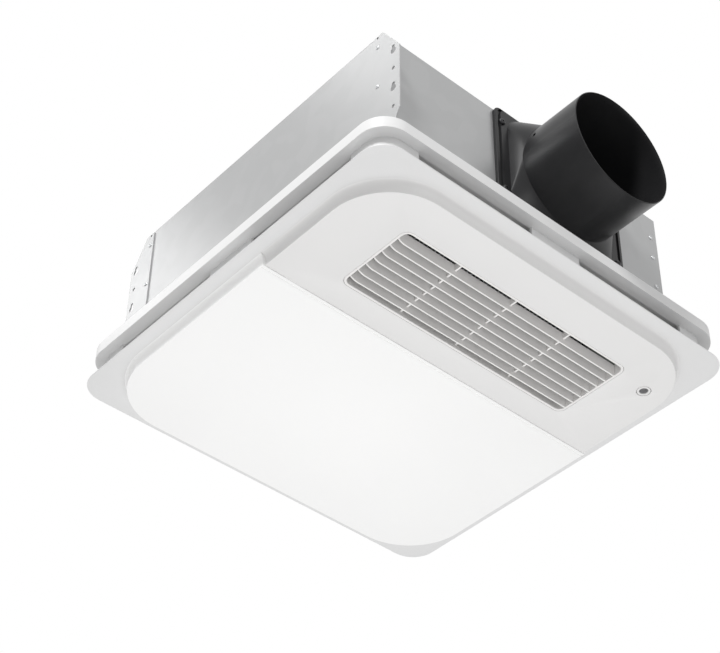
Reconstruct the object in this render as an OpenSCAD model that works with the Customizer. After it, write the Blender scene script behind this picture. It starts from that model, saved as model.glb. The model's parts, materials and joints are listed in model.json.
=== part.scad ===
// Ceiling exhaust fan with heater and light.
// Z = 0 is the ceiling face, +Z goes up into the ceiling and +X is the duct outlet.
// A steel housing hangs between joists. A plastic frame ring closes the cut-out,
// and the panel hangs below it on two wire springs, so room air enters all round.
// One blower feeds an air box. Its flap sends the air to the duct or down
// through the heating core and the louvre grille.

/* [Housing] */
// Height of the housing above the ceiling face
housing_h = 124; // [123:1:130]
// Thickness of the galvanised sheet
sheet_t = 0.8; // [0.6:0.1:1.2]
// Width of the flange turned in at the foot of the walls
foot_flange_w = 9; // [7:0.5:10]

/* [Hanger ears] */
// Thickness of a hanger ear
ear_t = 1; // [0.8:0.1:1.6]
// Length of an ear that laps the wall
ear_lap = 8.2; // [7:0.2:12]
// Length of an ear that stands out past the end wall
ear_reach = 19; // [17:0.5:24]
// Height of the sloped shoulder at the top of an ear
ear_shoulder_h = 28.6; // [20:0.2:36]
// Distance from the housing's top down to the upper keyhole
keyhole_drop = 31.6; // [28:0.2:34]
// Distance between the keyholes of one ear
keyhole_pitch = 40.2; // [38:0.2:44]
// Radius of the round part of a keyhole
keyhole_r = 2.8; // [2.2:0.1:3.2]
// Radius of the small joist holes
joist_hole_r = 1.6; // [1.2:0.1:2]
// Distance of a small hole below its keyhole
joist_hole_drop = 19; // [17:0.5:20]

/* [Frame ring] */
// Distance that the ring stands out past the housing's end walls
ring_over_x = 29.5; // [27:0.5:32]
// Distance that the ring stands out past the housing's side walls
ring_over_y = 26.5; // [25:0.5:29]
// Corner radius of the frame ring
ring_corner_r = 22.5; // [16:0.5:30]
// Depth of the frame ring below the ceiling face
ring_h = 10; // [8:0.5:14]
// Wall thickness of the frame ring
ring_wall = 2; // [1.6:0.1:2.4]
// Width of the ring's lower web
ring_web_w = 14.5; // [12:0.5:15]
// Width of the ring's screw flange at the end walls
ring_flange_x = 28; // [26:0.5:28.5]
// Width of the ring's screw flange at the side walls
ring_flange_y = 26; // [24:0.5:28]
// Length of the spacer tab at the middle of each side
tab_len = 48; // [30:1:60]
// Length of a corner spacer tab along each side
corner_tab_len = 26; // [20:1:40]
// Radius of the four ceiling screw holes
ceiling_hole_r = 2.25; // [1.8:0.05:2.6]

/* [Panel] */
// Side length of the square panel
panel_side = 350; // [345:1:360]
// Distance that the panel stands out past the ring
panel_over = 2.5; // [1:0.5:6]
// Height of the air gap between ring and panel
panel_gap = 20.9; // [16:0.1:26]
// Thickness of the panel plate
plate_t = 2.2; // [1.8:0.1:3]
// Corner radius of the panel's outline
plate_corner_r = 21.4; // [15:0.2:26]
// Corner radius of the plate's flat lower face
plate_face_r = 33; // [28:0.5:40]
// Distance from the panel's edge to the raised face
face_margin = 15; // [14:0.5:17]
// Corner radius of the raised face
face_corner_r = 51; // [44:0.5:58]
// Drop of the raised face below the plate
face_drop = 9.8; // [8:0.1:14]
// Width of the hollow cove round the raised face
cove_run = 4; // [3:0.1:5]
// Distance from the louvre opening to the joint between light and vent
split_margin = 24.5; // [20:0.5:27]
// Wall thickness of the diffuser and the vent cover
cover_t = 2; // [1.6:0.1:2.6]

/* [Louvre grille] */
// Distance from the raised face's edge to the louvre opening's long side
vent_margin = 33.5; // [33:0.1:34]
// Width of the louvre opening
vent_w = 66; // [64:0.5:67]
// Distance from the raised face's edge to the louvre opening's ends
vent_end_margin = 51.5; // [50:0.5:55]
// Number of slats
slat_count = 7; // [5:1:9]
// Depth of a slat from its lower to its upper edge
slat_depth = 8.4; // [6:0.1:9]
// Thickness of a slat
slat_t = 1.3; // [0.9:0.1:1.6]
// Lean of a slat from the vertical, in degrees
slat_lean = 12; // [0:1:20]
// Rise of a slat's lower edge at its front end
slat_end_rise = 5; // [2:0.2:6]
// Number of cross ribs behind the slats
rib_count = 3; // [2:1:5]

/* [Receiver] */
// Distance of the remote receiver from the raised face's duct side
receiver_in_x = 40.8; // [38:0.2:44]
// Distance of the remote receiver from the raised face's back side
receiver_in_y = 21.5; // [20:0.5:24]
// Radius of the dark receiver lens
lens_r = 3.4; // [2.6:0.1:4]
// Outside radius of the receiver's white bezel
bezel_r = 5.2; // [4.8:0.1:6]

/* [Duct adapter] */
// Place of the duct axis along Y
duct_y = 31; // [28:0.5:34]
// Distance from the housing's top down to the duct axis
duct_drop = 48.4; // [48:0.1:48.8]
// Outside radius of the duct collar
collar_r = 49; // [47:0.5:49]
// Wall thickness of the collar
adapter_t = 2; // [1.8:0.1:2.4]
// Reach of the collar mouth from the housing wall
collar_reach = 66.4; // [62:0.2:76]
// Length of the flared hood
hood_len = 20; // [16:0.5:24]
// Width of the adapter's wall flange
adapter_flange_w = 132.6; // [128:0.2:136]
// Thickness of the adapter's wall flange
adapter_flange_t = 3; // [2.4:0.1:3.6]

/* [Blower] */
// Room between the wheel and the far wall, for the spiral
blower_far_room = 30.2; // [30:0.1:31]
// Room between the wheel and the front wall, for the spiral
blower_front_room = 29.2; // [25:0.1:31]
// Room between the wheel and the air box
blower_duct_room = 16; // [15:0.5:18]
// Height left above the blower casing for the motor's top
motor_room = 23.2; // [22:0.2:27]
// Depth of the wheel's blades along the radius
blade_depth = 10; // [8:0.5:10]
// Thickness of a blade
blade_t = 0.8; // [0.6:0.1:1]
// Number of blades
blade_count = 36; // [24:1:40]
// Gap between the blower motor and the wheel's cup
motor_gap = 3; // [2:0.5:6]
// Radius of the motor shaft
shaft_r = 4; // [3:0.1:5]
// Running clearance round a shaft
shaft_clear = 0.05; // [0.02:0.01:0.1]

/* [Heater] */
// Height of the heating core
core_h = 20; // [16:1:22]
// Number of heating bars across the core
bar_count = 4; // [3:1:5]
// Pitch of the folded fins
fin_pitch = 8; // [6:0.5:12]

/* [Light] */
// Height of the light tray above the diffuser
tray_rise = 18; // [14:0.5:20]
// Number of light emitters along each direction of the board
led_rows = 6; // [4:1:8]

/* [Hidden] */
$fn = 64;

// Overrun of every cut, the gap between parts that move past each other, and the
// overlap that joins two shapes of one piece
cut = 0.5;
part_gap = 0.4;
seat = 0.1;

galvanised = "#c4c7c9";
zinc = "#aeb2b5";
white_plastic = "#e9e9ea";
opal = "#fbfbf8";
black_plastic = "#1e1f21";
grey_plastic = "#83878b";
aluminium = "#b9bcbf";
brass = "#b8974a";
board_green = "#2f6b4a";
motor_black = "#2b2d30";

// Plan: the ring fits the panel and the housing fits the ring
ring_side = panel_side - 2 * panel_over;
housing_x = ring_side - 2 * ring_over_x;
housing_y = ring_side - 2 * ring_over_y;
half_x = housing_x / 2;
half_y = housing_y / 2;
in_x = half_x - sheet_t;
in_y = half_y - sheet_t;
top_in = housing_h - sheet_t;

// Plan of the panel, and of the heater chute and air box that stand over its vent
panel_half = panel_side / 2;
face_half = panel_half - face_margin;
vent_x = face_half - vent_margin - vent_w / 2;
vent_l = 2 * (face_half - vent_end_margin);
split_x = vent_x - vent_w / 2 - split_margin;
receiver_x = face_half - receiver_in_x;
receiver_y = face_half - receiver_in_y;
chute_out = 1.5;
chute_half_x = vent_w / 2 + chute_out;
chute_half_y = vent_l / 2 + chute_out;
box_side_room = 15;
box_end_room = 2;
box_x = vent_x - chute_half_x - box_side_room;
box_half_y = chute_half_y + box_end_room;
tray_edge_in = 3;
tray_edge_x = split_x - tray_edge_in;
spring_edge_in = 9;
spring_in = 21.2;
spring_x = tray_edge_x - spring_edge_in;
spring_y = in_y - spring_in;

// Heights of what hangs on the walls, measured down from the top
keyhole_z = housing_h - keyhole_drop;
duct_z = housing_h - duct_drop;

// Plan of the blower, in the room between the far wall and the air box
wheel_r = (box_x + in_x - blower_far_room - blower_duct_room) / 2;
blower_x = blower_far_room + wheel_r - in_x;
blower_y = blower_front_room + wheel_r - in_y;
blade_in_r = wheel_r - blade_depth;
rim_t = 2;
cup_taper = 9;
cup_out_r = blade_in_r - rim_t;
cup_r = cup_out_r - cup_taper;
motor_r = cup_r - motor_gap;

// Small fasteners
rivet_r = 1.9;
rivet_head_t = 0.8;
rivet_stem_r = 1.2;
screw_head_r = 3;
screw_head_t = 1.8;
screw_r = 1.45;
screw_len = 5;
head_top_share = 0.7;

// Round outline of a rectangle, as one ring of points at height z
function rounded(hx, hy, r, z, n) = [
    for (k = [0:3], i = [0:n])
        let (a = 90 * (k + i / n))
        [
            (k == 0 || k == 3 ? hx - r : r - hx) + r * cos(a),
            (k < 2 ? hy - r : r - hy) + r * sin(a),
            z
        ]
];

// Closed skin over a stack of rings with equal counts of points
module loft(rings) {
    n = len(rings[0]);
    m = len(rings);
    skin = [
        for (j = [0:m - 2], i = [0:n - 1])
            let (a = j * n + i, b = j * n + (i + 1) % n)
            each [[a, a + n, b], [b, a + n, b + n]]
    ];
    foot = [for (i = [0:n - 1]) i];
    lid = [for (i = [n - 1:-1:0]) (m - 1) * n + i];
    polyhedron([for (r = rings) each r], concat(skin, [foot, lid]), convexity = 8);
}

// Flat plate with round corners, from exact squares and arcs
module round_plate(hx, hy, r, h) {
    linear_extrude(h) {
        square([2 * hx, 2 * (hy - r)], center = true);
        square([2 * (hx - r), 2 * hy], center = true);
        for (sx = [-1, 1], sy = [-1, 1])
            translate([sx * (hx - r), sy * (hy - r)]) circle(r);
    }
}

// Box from two opposite corners
module block(a, b) {
    translate(a) cube(b - a);
}

// Pan screw that points up, with the underside of its head at the origin
module screw(len = screw_len) {
    translate([0, 0, -screw_head_t])
        cylinder(r1 = screw_head_r * head_top_share, r2 = screw_head_r, h = screw_head_t);
    cylinder(r = screw_r, h = len);
}

// Rivet that points up through a grip of sheet
module rivet(grip) {
    translate([0, 0, -rivet_head_t]) cylinder(r1 = rivet_stem_r, r2 = rivet_r, h = rivet_head_t);
    cylinder(r = rivet_stem_r, h = grip);
}

// Steel housing: four flanged walls and a lid
rivet_in = 4.6;
rivet_low_drop = 56.4;
rivet_high_drop = 13.6;
rivet_low_z = housing_h - rivet_low_drop;
rivet_high_z = housing_h - rivet_high_drop;
seam_rivet_in = 7;
seam_rivet_drops = [76, 45, 23];
seam_rivet_z = [for (drop = seam_rivet_drops) housing_h - drop];
knockout_in = 37.2;
knockout_y = in_y - knockout_in;
knockout_drop = 32;
knockout_z = housing_h - knockout_drop;
bush_stem_r = 11;
bore_r = collar_r - adapter_t;
seam_tab_w = 12;
seam_tab_low_drop = 84;
seam_tab_high_drop = 15;
seam_tab_low = housing_h - seam_tab_low_drop;
seam_tab_high = housing_h - seam_tab_high_drop;
module wall_holes() {
    translate([in_x - cut, duct_y, duct_z]) rotate([0, 90, 0])
        cylinder(r = bore_r, h = sheet_t + 2 * cut);
    translate([-half_x - cut, knockout_y, knockout_z]) rotate([0, 90, 0])
        cylinder(r = bush_stem_r, h = sheet_t + 2 * cut);
    for (sx = [-1, 1], sy = [-1, 1])
        translate([sx * frame_screw_x, sy * frame_screw_y, -cut])
            cylinder(r = screw_r, h = sheet_t + 2 * cut);
    for (s = [-1, 1], z = [rivet_low_z, rivet_high_z])
        translate([s * (half_x - rivet_in), sheet_t / 2 - half_y, z]) rotate([90, 0, 0])
            cylinder(r = rivet_stem_r, h = sheet_t + 2 * cut, center = true);
    for (sx = [-1, 1], z = seam_rivet_z)
        translate([sx * half_x, half_y - seam_rivet_in, z]) rotate([0, 90, 0])
            cylinder(r = rivet_stem_r, h = 4 * sheet_t + cut, center = true);
    for (sy = [-1, 1], sz = [-1, 1])
        translate([in_x - cut, duct_y + sy * adapter_screw_y, duct_z + sz * adapter_screw_z])
            rotate([0, 90, 0]) cylinder(r = screw_r, h = sheet_t + 2 * cut);
    for (s = [-1, 1])
        translate([cover_mid_x + s * cover_screw_x, in_y - cut, cover_z - cover_lip_h / 2])
            rotate([-90, 0, 0]) cylinder(r = screw_r, h = sheet_t + 2 * cut);
}
// Long wall with its foot flange and, at both ends, a tab behind the end wall
module long_wall(s) {
    color(galvanised)
    difference() {
        mirror([0, s > 0 ? 1 : 0, 0]) {
            block([-half_x, -half_y, 0], [half_x, -in_y, top_in]);
            block([-in_x, -in_y, 0], [in_x, foot_flange_w - in_y, sheet_t]);
            for (k = [0, 1]) mirror([k, 0, 0])
                block([in_x - sheet_t, -in_y, seam_tab_low],
                    [in_x, seam_tab_w - in_y, seam_tab_high]);
        }
        wall_holes();
    }
}
module end_wall(s) {
    color(galvanised)
    difference() {
        mirror([s < 0 ? 1 : 0, 0, 0]) {
            block([in_x, -in_y, 0], [half_x, in_y, top_in]);
            block([in_x - foot_flange_w, foot_flange_w - in_y, 0],
                [in_x, in_y - foot_flange_w, sheet_t]);
        }
        wall_holes();
    }
}
module wall_front() { long_wall(-1); }
module wall_back() { long_wall(1); }
module wall_duct() { end_wall(1); }
module wall_far() { end_wall(-1); }

// Lid, with two pressed ribs that stiffen it
lid_rib_y = 70;
lid_rib_w = 12;
lid_rib_h = 1.2;
lid_rib_in = 26;
module housing_lid() {
    color(galvanised)
    translate([0, 0, top_in]) {
        linear_extrude(sheet_t) square([housing_x, housing_y], center = true);
        for (s = [-1, 1]) translate([0, s * lid_rib_y, 0])
            round_plate(half_x - lid_rib_in, lid_rib_w / 2, lid_rib_w / 2 - seat,
                sheet_t + lid_rib_h);
    }
}

// Hanger ears: one outline, placed at both ends of the front wall
ear_top_drop = 1.4;
ear_top_out = 1.2;
ear_foot_z = 2;
ear_foot_out = 5;
ear_waist_z = 28;
keyhole_slot_r = 1.6;
keyhole_slot_h = 4.4;
hole_out = 12.3;
tip_hole_r = 1.1;
tip_hole_drop = 1.8;
ear_top_z = housing_h - ear_top_drop;
module keyhole() {
    circle(keyhole_r);
    translate([-keyhole_slot_r, 0]) square([2 * keyhole_slot_r, keyhole_slot_h]);
    translate([0, keyhole_slot_h]) circle(keyhole_slot_r);
}
module ear_outline() {
    difference() {
        polygon([
            [-ear_lap, ear_foot_z], [ear_foot_out, ear_foot_z], [ear_reach, ear_waist_z],
            [ear_reach, ear_top_z - ear_shoulder_h], [ear_top_out, ear_top_z],
            [-ear_lap, ear_top_z]
        ]);
        for (z = [keyhole_z, keyhole_z - keyhole_pitch]) {
            translate([hole_out, z]) keyhole();
            translate([hole_out, z - joist_hole_drop]) circle(joist_hole_r);
        }
        for (z = [rivet_low_z, rivet_high_z])
            translate([-rivet_in, z]) circle(rivet_stem_r);
        translate([-rivet_in, ear_top_z - tip_hole_drop]) circle(tip_hole_r);
    }
}
// s picks the end of the front wall that an ear sits on
module hanger_ear(s) {
    color(galvanised)
    mirror([s < 0 ? 1 : 0, 0, 0])
        translate([half_x, -half_y, 0]) rotate([90, 0, 0]) linear_extrude(ear_t) ear_outline();
}
module hanger_ear_front_duct() { hanger_ear(1); }
module hanger_ear_front_far() { hanger_ear(-1); }

module ear_rivets() {
    color(zinc)
    for (s = [-1, 1], z = [rivet_low_z, rivet_high_z])
        translate([s * (half_x - rivet_in), -half_y - ear_t, z]) rotate([-90, 0, 0])
            rivet(ear_t + sheet_t);
}

module seam_rivets() {
    color(zinc)
    for (sx = [-1, 1], z = seam_rivet_z)
        translate([sx * half_x, half_y - seam_rivet_in, z]) rotate([0, -90 * sx, 0])
            rivet(2 * sheet_t);
}

// Frame ring: outer wall, lower web, inner wall, screw flange and spacer tabs
ring_half = ring_side / 2;
ring_in = ring_half - ring_web_w;
ring_in_r = 12;
ring_flange_t = 2.5;
ceiling_hole_in = 7.5;
frame_screw_in = 4.5;
frame_screw_x = in_x - frame_screw_in;
frame_screw_y = 70;
ceiling_hole_xy = ring_in - ceiling_hole_in;
panel_back_z = -ring_h - panel_gap;
cover_flange_t = 1.2;
tab_z = panel_back_z + cover_flange_t + part_gap;
module frame_ring() {
    color(white_plastic)
    difference() {
        union() {
            translate([0, 0, -ring_h]) round_plate(ring_half, ring_half, ring_corner_r, ring_h);
            difference() {
                translate([0, 0, tab_z])
                    round_plate(ring_in, ring_in, ring_in_r, -tab_z - ring_h / 2);
                tab_windows();
            }
        }
        // channel that is open to the ceiling
        translate([0, 0, ring_wall - ring_h]) difference() {
            round_plate(ring_half - ring_wall, ring_half - ring_wall,
                ring_corner_r - ring_wall, ring_h);
            translate([0, 0, -cut]) round_plate(ring_in, ring_in, ring_in_r, ring_h + 2 * cut);
        }
        // hollow below the screw flange
        translate([0, 0, tab_z - cut])
            round_plate(ring_in - ring_wall, ring_in - ring_wall, ring_in_r - ring_wall,
                cut - tab_z - ring_flange_t);
        block([ring_flange_x - ring_in, ring_flange_y - ring_in, -ring_h],
            [ring_in - ring_flange_x, ring_in - ring_flange_y, cut]);
        for (sx = [-1, 1], sy = [-1, 1]) {
            translate([sx * ceiling_hole_xy, sy * ceiling_hole_xy, -ring_h])
                cylinder(r = ceiling_hole_r, h = ring_h + cut);
            translate([sx * frame_screw_x, sy * frame_screw_y, -ring_h])
                cylinder(r = screw_r, h = ring_h + cut);
        }
    }
}
// Air windows between the tabs, cut along both axes
module tab_windows() {
    window = ring_in - corner_tab_len - tab_len / 2;
    for (s = [-1, 1], k = [0, 90])
        rotate(k) translate([-ring_side, s * (tab_len + window) / 2 - window / 2, tab_z - cut])
            cube([2 * ring_side, window, -tab_z - ring_h + cut]);
}

module frame_screws() {
    color(zinc)
    for (sx = [-1, 1], sy = [-1, 1])
        translate([sx * frame_screw_x, sy * frame_screw_y, -ring_flange_t]) screw();
}

// Duct adapter: wall flange, flared hood and round collar
hood_half_w = 53.5;
flange_over = 1.5;
hood_in = 0.6;
hood_corner_r = 20;
hood_steps = 7;
hood_ring_n = 12;
flare_power = 2.2;
flare_step = 0.4;
flange_lip_w = 6;
flange_recess_t = 0.8;
flange_corner_r = 6;
adapter_screw_y = 59.5;
adapter_screw_z = 36;
flange_half_h = collar_r + flange_over;
hood_half_h = flange_half_h - hood_in;
// Share of the hood's shape that is left at share t of its length
function flare(t) = pow(1 - t, flare_power);
hood_end_r = collar_r + flare_step;
hood_rings = [
    for (j = [0:hood_steps])
        let (t = j / hood_steps, s = flare(t))
        rounded(hood_end_r + (hood_half_h - hood_end_r) * s,
            hood_end_r + (hood_half_w - hood_end_r) * s,
            hood_end_r + (hood_corner_r - hood_end_r) * s, hood_len * t, hood_ring_n)
];
module duct_adapter() {
    color(black_plastic)
    translate([half_x, duct_y, duct_z]) rotate([0, 90, 0])
    difference() {
        union() {
            round_plate(flange_half_h, adapter_flange_w / 2, flange_corner_r, adapter_flange_t);
            loft(hood_rings);
            translate([0, 0, hood_len - adapter_t])
                cylinder(r = collar_r, h = collar_reach - hood_len + adapter_t);
        }
        // field that is set back inside the flange's lip
        for (s = [-1, 1])
            translate([0, s * (adapter_flange_w / 2 - flange_lip_w / 2), adapter_flange_t])
                cube([2 * (flange_half_h - flange_lip_w), flange_lip_w, 2 * flange_recess_t],
                    center = true);
        translate([0, 0, -cut]) cylinder(r = bore_r, h = collar_reach + 2 * cut);
        for (sy = [-1, 1], sz = [-1, 1])
            translate([sz * adapter_screw_z, sy * adapter_screw_y, -cut])
                cylinder(r = screw_r, h = adapter_flange_t + 2 * cut);
        for (s = [-1, 1])
            translate([s * (bore_r - cut), 0, post_in]) rotate([0, 90 * s, 0])
                cylinder(r = post_r, h = post_seat + cut);
    }
}

module adapter_screws() {
    color(zinc)
    for (sy = [-1, 1], sz = [-1, 1])
        translate([half_x + adapter_flange_t, duct_y + sy * adapter_screw_y,
            duct_z + sz * adapter_screw_z])
            rotate([0, -90, 0]) screw();
}

// Backdraft damper: a fixed post and two half round flaps with knuckles that take turns
post_r = 1.5;
post_in = 14;
post_seat = 1.2;
flap_t = 1;
flap_play = 0.8;
knuckle_r = 2.9;
knuckle_h = 20;
knuckle_gap = 0.6;
half_flap_r = bore_r - flap_play;
flap_edge = knuckle_r + knuckle_gap;
damper_x = half_x + post_in;
module damper_post() {
    color(zinc)
    translate([damper_x, duct_y, duct_z - bore_r - post_seat])
        cylinder(r = post_r, h = 2 * (bore_r + post_seat));
}
// s is -1 for the front flap and 1 for the back flap
module damper_flap(s) {
    color(black_plastic)
    translate([damper_x, duct_y, duct_z]) mirror([0, s < 0 ? 1 : 0, 0])
    difference() {
        union() {
            intersection() {
                rotate([0, 90, 0]) cylinder(r = half_flap_r, h = flap_t, center = true);
                block([-flap_t, flap_edge, -bore_r], [flap_t, bore_r, bore_r]);
            }
            for (k = [0, 1]) translate([0, 0, knuckle_z(s, k)]) {
                cylinder(r = knuckle_r, h = knuckle_h);
                block([-flap_t / 2, 0, 0], [flap_t / 2, flap_edge + flap_t, knuckle_h]);
            }
        }
        translate([0, 0, -bore_r]) cylinder(r = post_r + shaft_clear, h = 2 * bore_r);
    }
}
// Foot of knuckle k of a flap: four knuckles share the post
function knuckle_z(s, k) =
    (2 * k + (s > 0 ? 1 : 0) - 2) * (knuckle_h + knuckle_gap) + knuckle_gap / 2;
module damper_flap_front() { damper_flap(-1); }
module damper_flap_back() { damper_flap(1); }

// Blower casing: a spiral wall with a straight outlet
scroll_z = 26;
wheel_lift = 4;
wheel_top_gap = 10;
scroll_h = top_in - scroll_z - motor_room;
wheel_h = scroll_h - wheel_lift - wheel_top_gap;
casing_t = 1.2;
tongue_a = 40;
tongue_gap = 8;
spiral_growth = 26;
spiral_steps = 40;
spiral_end_a = -270;
tongue_r = wheel_r + tongue_gap;
outlet_end = box_x - blower_x;
function spiral_r(a) = tongue_r + spiral_growth * (tongue_a - a) / (tongue_a - spiral_end_a);
outlet_low = tongue_r * sin(tongue_a);
outlet_high = spiral_r(spiral_end_a);
// grow widens the outline by the wall
module scroll_outline(grow, end = outlet_end) {
    start_a = asin((outlet_low - grow) / (tongue_r + grow));
    polygon(concat(
        [
            for (i = [0:spiral_steps])
                let (a = start_a + (spiral_end_a - start_a) * i / spiral_steps)
                (spiral_r(min(a, tongue_a)) + grow) * [cos(a), sin(a)]
        ],
        [[end, outlet_high + grow], [end, outlet_low - grow]]
    ));
}
motor_hole_gap = 1;
motor_flange_w = 9;
motor_screw_out = 5;
motor_hole_r = motor_r + motor_hole_gap;
motor_flange_r = motor_r + motor_flange_w;
motor_screw_r = motor_r + motor_screw_out;
hanger_post_r = 4;
hanger_post_in = 2;
hanger_post_out = tongue_r - hanger_post_in;
module scroll_casing() {
    color(galvanised)
    translate([blower_x, blower_y, scroll_z]) {
        difference() {
            linear_extrude(scroll_h) scroll_outline(casing_t);
            translate([0, 0, -cut]) linear_extrude(scroll_h + cut - casing_t)
                scroll_outline(0, outlet_end + cut);
            cylinder(r = motor_hole_r, h = scroll_h + cut);
            for (k = [0:3]) rotate(90 * k) translate([motor_screw_r, 0, scroll_h - 2 * casing_t])
                cylinder(r = screw_r, h = 3 * casing_t);
        }
        // posts that hang the casing from the housing's roof
        for (k = [0:2]) rotate(120 * k + tongue_a) translate([hanger_post_out, 0, scroll_h - casing_t])
            cylinder(r = hanger_post_r, h = top_in - scroll_z - scroll_h + casing_t);
    }
}

// Inlet plate with its rolled bell mouth
bell_in = 3;
bell_r = blade_in_r - bell_in;
bell_lip = 4;
inlet_tab_r = 4.5;
inlet_tab_out = 3;
bell_edge_r = bell_r + bell_lip + casing_t;
inlet_screw_angles = [-20, -76, -132, -222, -262];
module at_inlet_screws() {
    for (a = inlet_screw_angles)
        rotate(a) translate([spiral_r(a) + casing_t + inlet_tab_out, 0]) children();
}
module inlet_plate() {
    color(galvanised)
    translate([blower_x, blower_y, scroll_z - casing_t]) {
        difference() {
            linear_extrude(casing_t) {
                scroll_outline(casing_t);
                at_inlet_screws() circle(inlet_tab_r);
            }
            translate([0, 0, -cut]) cylinder(r = bell_edge_r, h = casing_t + 2 * cut);
            at_inlet_screws() translate([0, 0, -cut]) cylinder(r = screw_r, h = casing_t + 2 * cut);
        }
        // quarter round lip that leads the air in
        rotate_extrude() translate([bell_edge_r, bell_lip + casing_t]) difference() {
            intersection() {
                circle(bell_lip + casing_t);
                translate([-2 * bell_lip, -2 * bell_lip]) square(2 * bell_lip);
            }
            circle(bell_lip);
        }
    }
}

// Tabs on the casing's foot take the inlet screws
module inlet_screws() {
    color(zinc)
    translate([blower_x, blower_y, scroll_z - casing_t]) at_inlet_screws() screw();
}

// Blower motor, nested in the wheel's cup and flanged on the casing's roof
wheel_z = scroll_z + wheel_lift;
motor_dip = 10;
motor_z = wheel_z + wheel_h - motor_dip;
motor_flange_z = scroll_z + scroll_h;
motor_flange_t = 2;
motor_roof_gap = 4;
motor_top_z = top_in - motor_roof_gap;
motor_round = 5;
motor_bore_h = 14;
boss_r = 9;
boss_h = 2;
fin_count = 12;
fin_in_share = 0.2;
module blower_motor() {
    color(motor_black)
    translate([blower_x, blower_y, 0])
    difference() {
        union() {
            rotate_extrude() polygon([
                [0, motor_z - boss_h], [boss_r, motor_z - boss_h], [boss_r, motor_z],
                [motor_r - motor_round, motor_z], [motor_r, motor_z + motor_round],
                [motor_r, motor_flange_z], [motor_flange_r, motor_flange_z],
                [motor_flange_r, motor_flange_z + motor_flange_t],
                [motor_r - motor_round / 2, motor_flange_z + motor_flange_t],
                [motor_r - motor_round / 2, motor_top_z - motor_round],
                [motor_r - 2 * motor_round, motor_top_z], [0, motor_top_z]
            ]);
            for (k = [0:fin_count - 1]) rotate(360 * (k + 0.5) / fin_count)
                block([fin_in_share * motor_r, -casing_t, motor_top_z - motor_round],
                    [motor_r - 2 * motor_round, casing_t, motor_top_z + casing_t]);
        }
        translate([0, 0, motor_z - boss_h - cut])
            cylinder(r = shaft_r + shaft_clear, h = motor_bore_h + boss_h + cut);
        for (k = [0:3]) rotate(90 * k) translate([motor_screw_r, 0, motor_flange_z - cut])
            cylinder(r = screw_r, h = motor_flange_t + 2 * cut);
    }
}

module motor_screws() {
    color(zinc)
    translate([blower_x, blower_y, motor_flange_z + motor_flange_t])
    for (k = [0:3]) rotate(90 * k) translate([motor_screw_r, 0, 0]) mirror([0, 0, 1]) screw();
}

// Plain round shaft that carries the wheel's hub and its nut
hub_r = 9;
hub_h = 14;
web_t = 2;
web_drop = 18;
hub_drop = 10;
web_z = wheel_z + wheel_h - web_drop;
hub_z = web_z - hub_drop;
nut_h = 5;
nut_r = 6.5;
shaft_tip = 2;
module motor_shaft() {
    color(zinc)
    translate([blower_x, blower_y, hub_z - nut_h - shaft_tip])
        cylinder(r = shaft_r, h = motor_z + motor_bore_h - part_gap - hub_z + nut_h + shaft_tip);
}

module wheel_nut() {
    color(brass)
    translate([blower_x, blower_y, hub_z - nut_h])
    difference() {
        cylinder(r = nut_r, h = nut_h, $fn = 6);
        translate([0, 0, -cut]) cylinder(r = shaft_r, h = nut_h + 2 * cut);
    }
}

// Wheel: two rims and forward curved blades
rim_out = 1;
blade_sweep = -13;
blade_bend = 1.7;
blade_steps = 5;
// Angle of the blade's middle line at share t of its depth
function blade_a(t) = blade_sweep * pow(t, blade_bend);
function blade_side(s) = [
    for (i = [0:blade_steps])
        let (t = i / blade_steps, r = blade_in_r + blade_depth * t,
            a = blade_a(t) + s * atan(blade_t / 2 / r))
        r * [cos(a), sin(a)]
];
blade_outline = concat(blade_side(-1), [for (i = [blade_steps:-1:0]) blade_side(1)[i]]);
module impeller() {
    color(black_plastic)
    translate([blower_x, blower_y, wheel_z]) {
        for (k = [0:blade_count - 1]) rotate(360 * k / blade_count)
            linear_extrude(wheel_h) polygon(blade_outline);
        rotate_extrude() {
            translate([blade_in_r + rim_out, 0]) square([blade_depth, rim_t]);
            translate([cup_out_r, wheel_h - rim_t])
                square([wheel_r + rim_out - cup_out_r, rim_t]);
        }
    }
}

// Cup of the wheel: hub, web and the cone that rises round the motor
cup_web_z = web_z - wheel_z;
cup_hub_z = hub_z - wheel_z;
module wheel_cup() {
    color(black_plastic)
    translate([blower_x, blower_y, wheel_z]) rotate_extrude() polygon([
        [cup_out_r, wheel_h - rim_t], [cup_r + rim_t, cup_web_z], [hub_r, cup_web_z],
        [hub_r, cup_hub_z], [shaft_r, cup_hub_z], [shaft_r, cup_hub_z + hub_h],
        [hub_r, cup_hub_z + hub_h], [hub_r, cup_web_z + web_t], [cup_r, cup_web_z + web_t],
        [cup_out_r - rim_t, wheel_h], [cup_out_r, wheel_h]
    ]);
}

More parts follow.
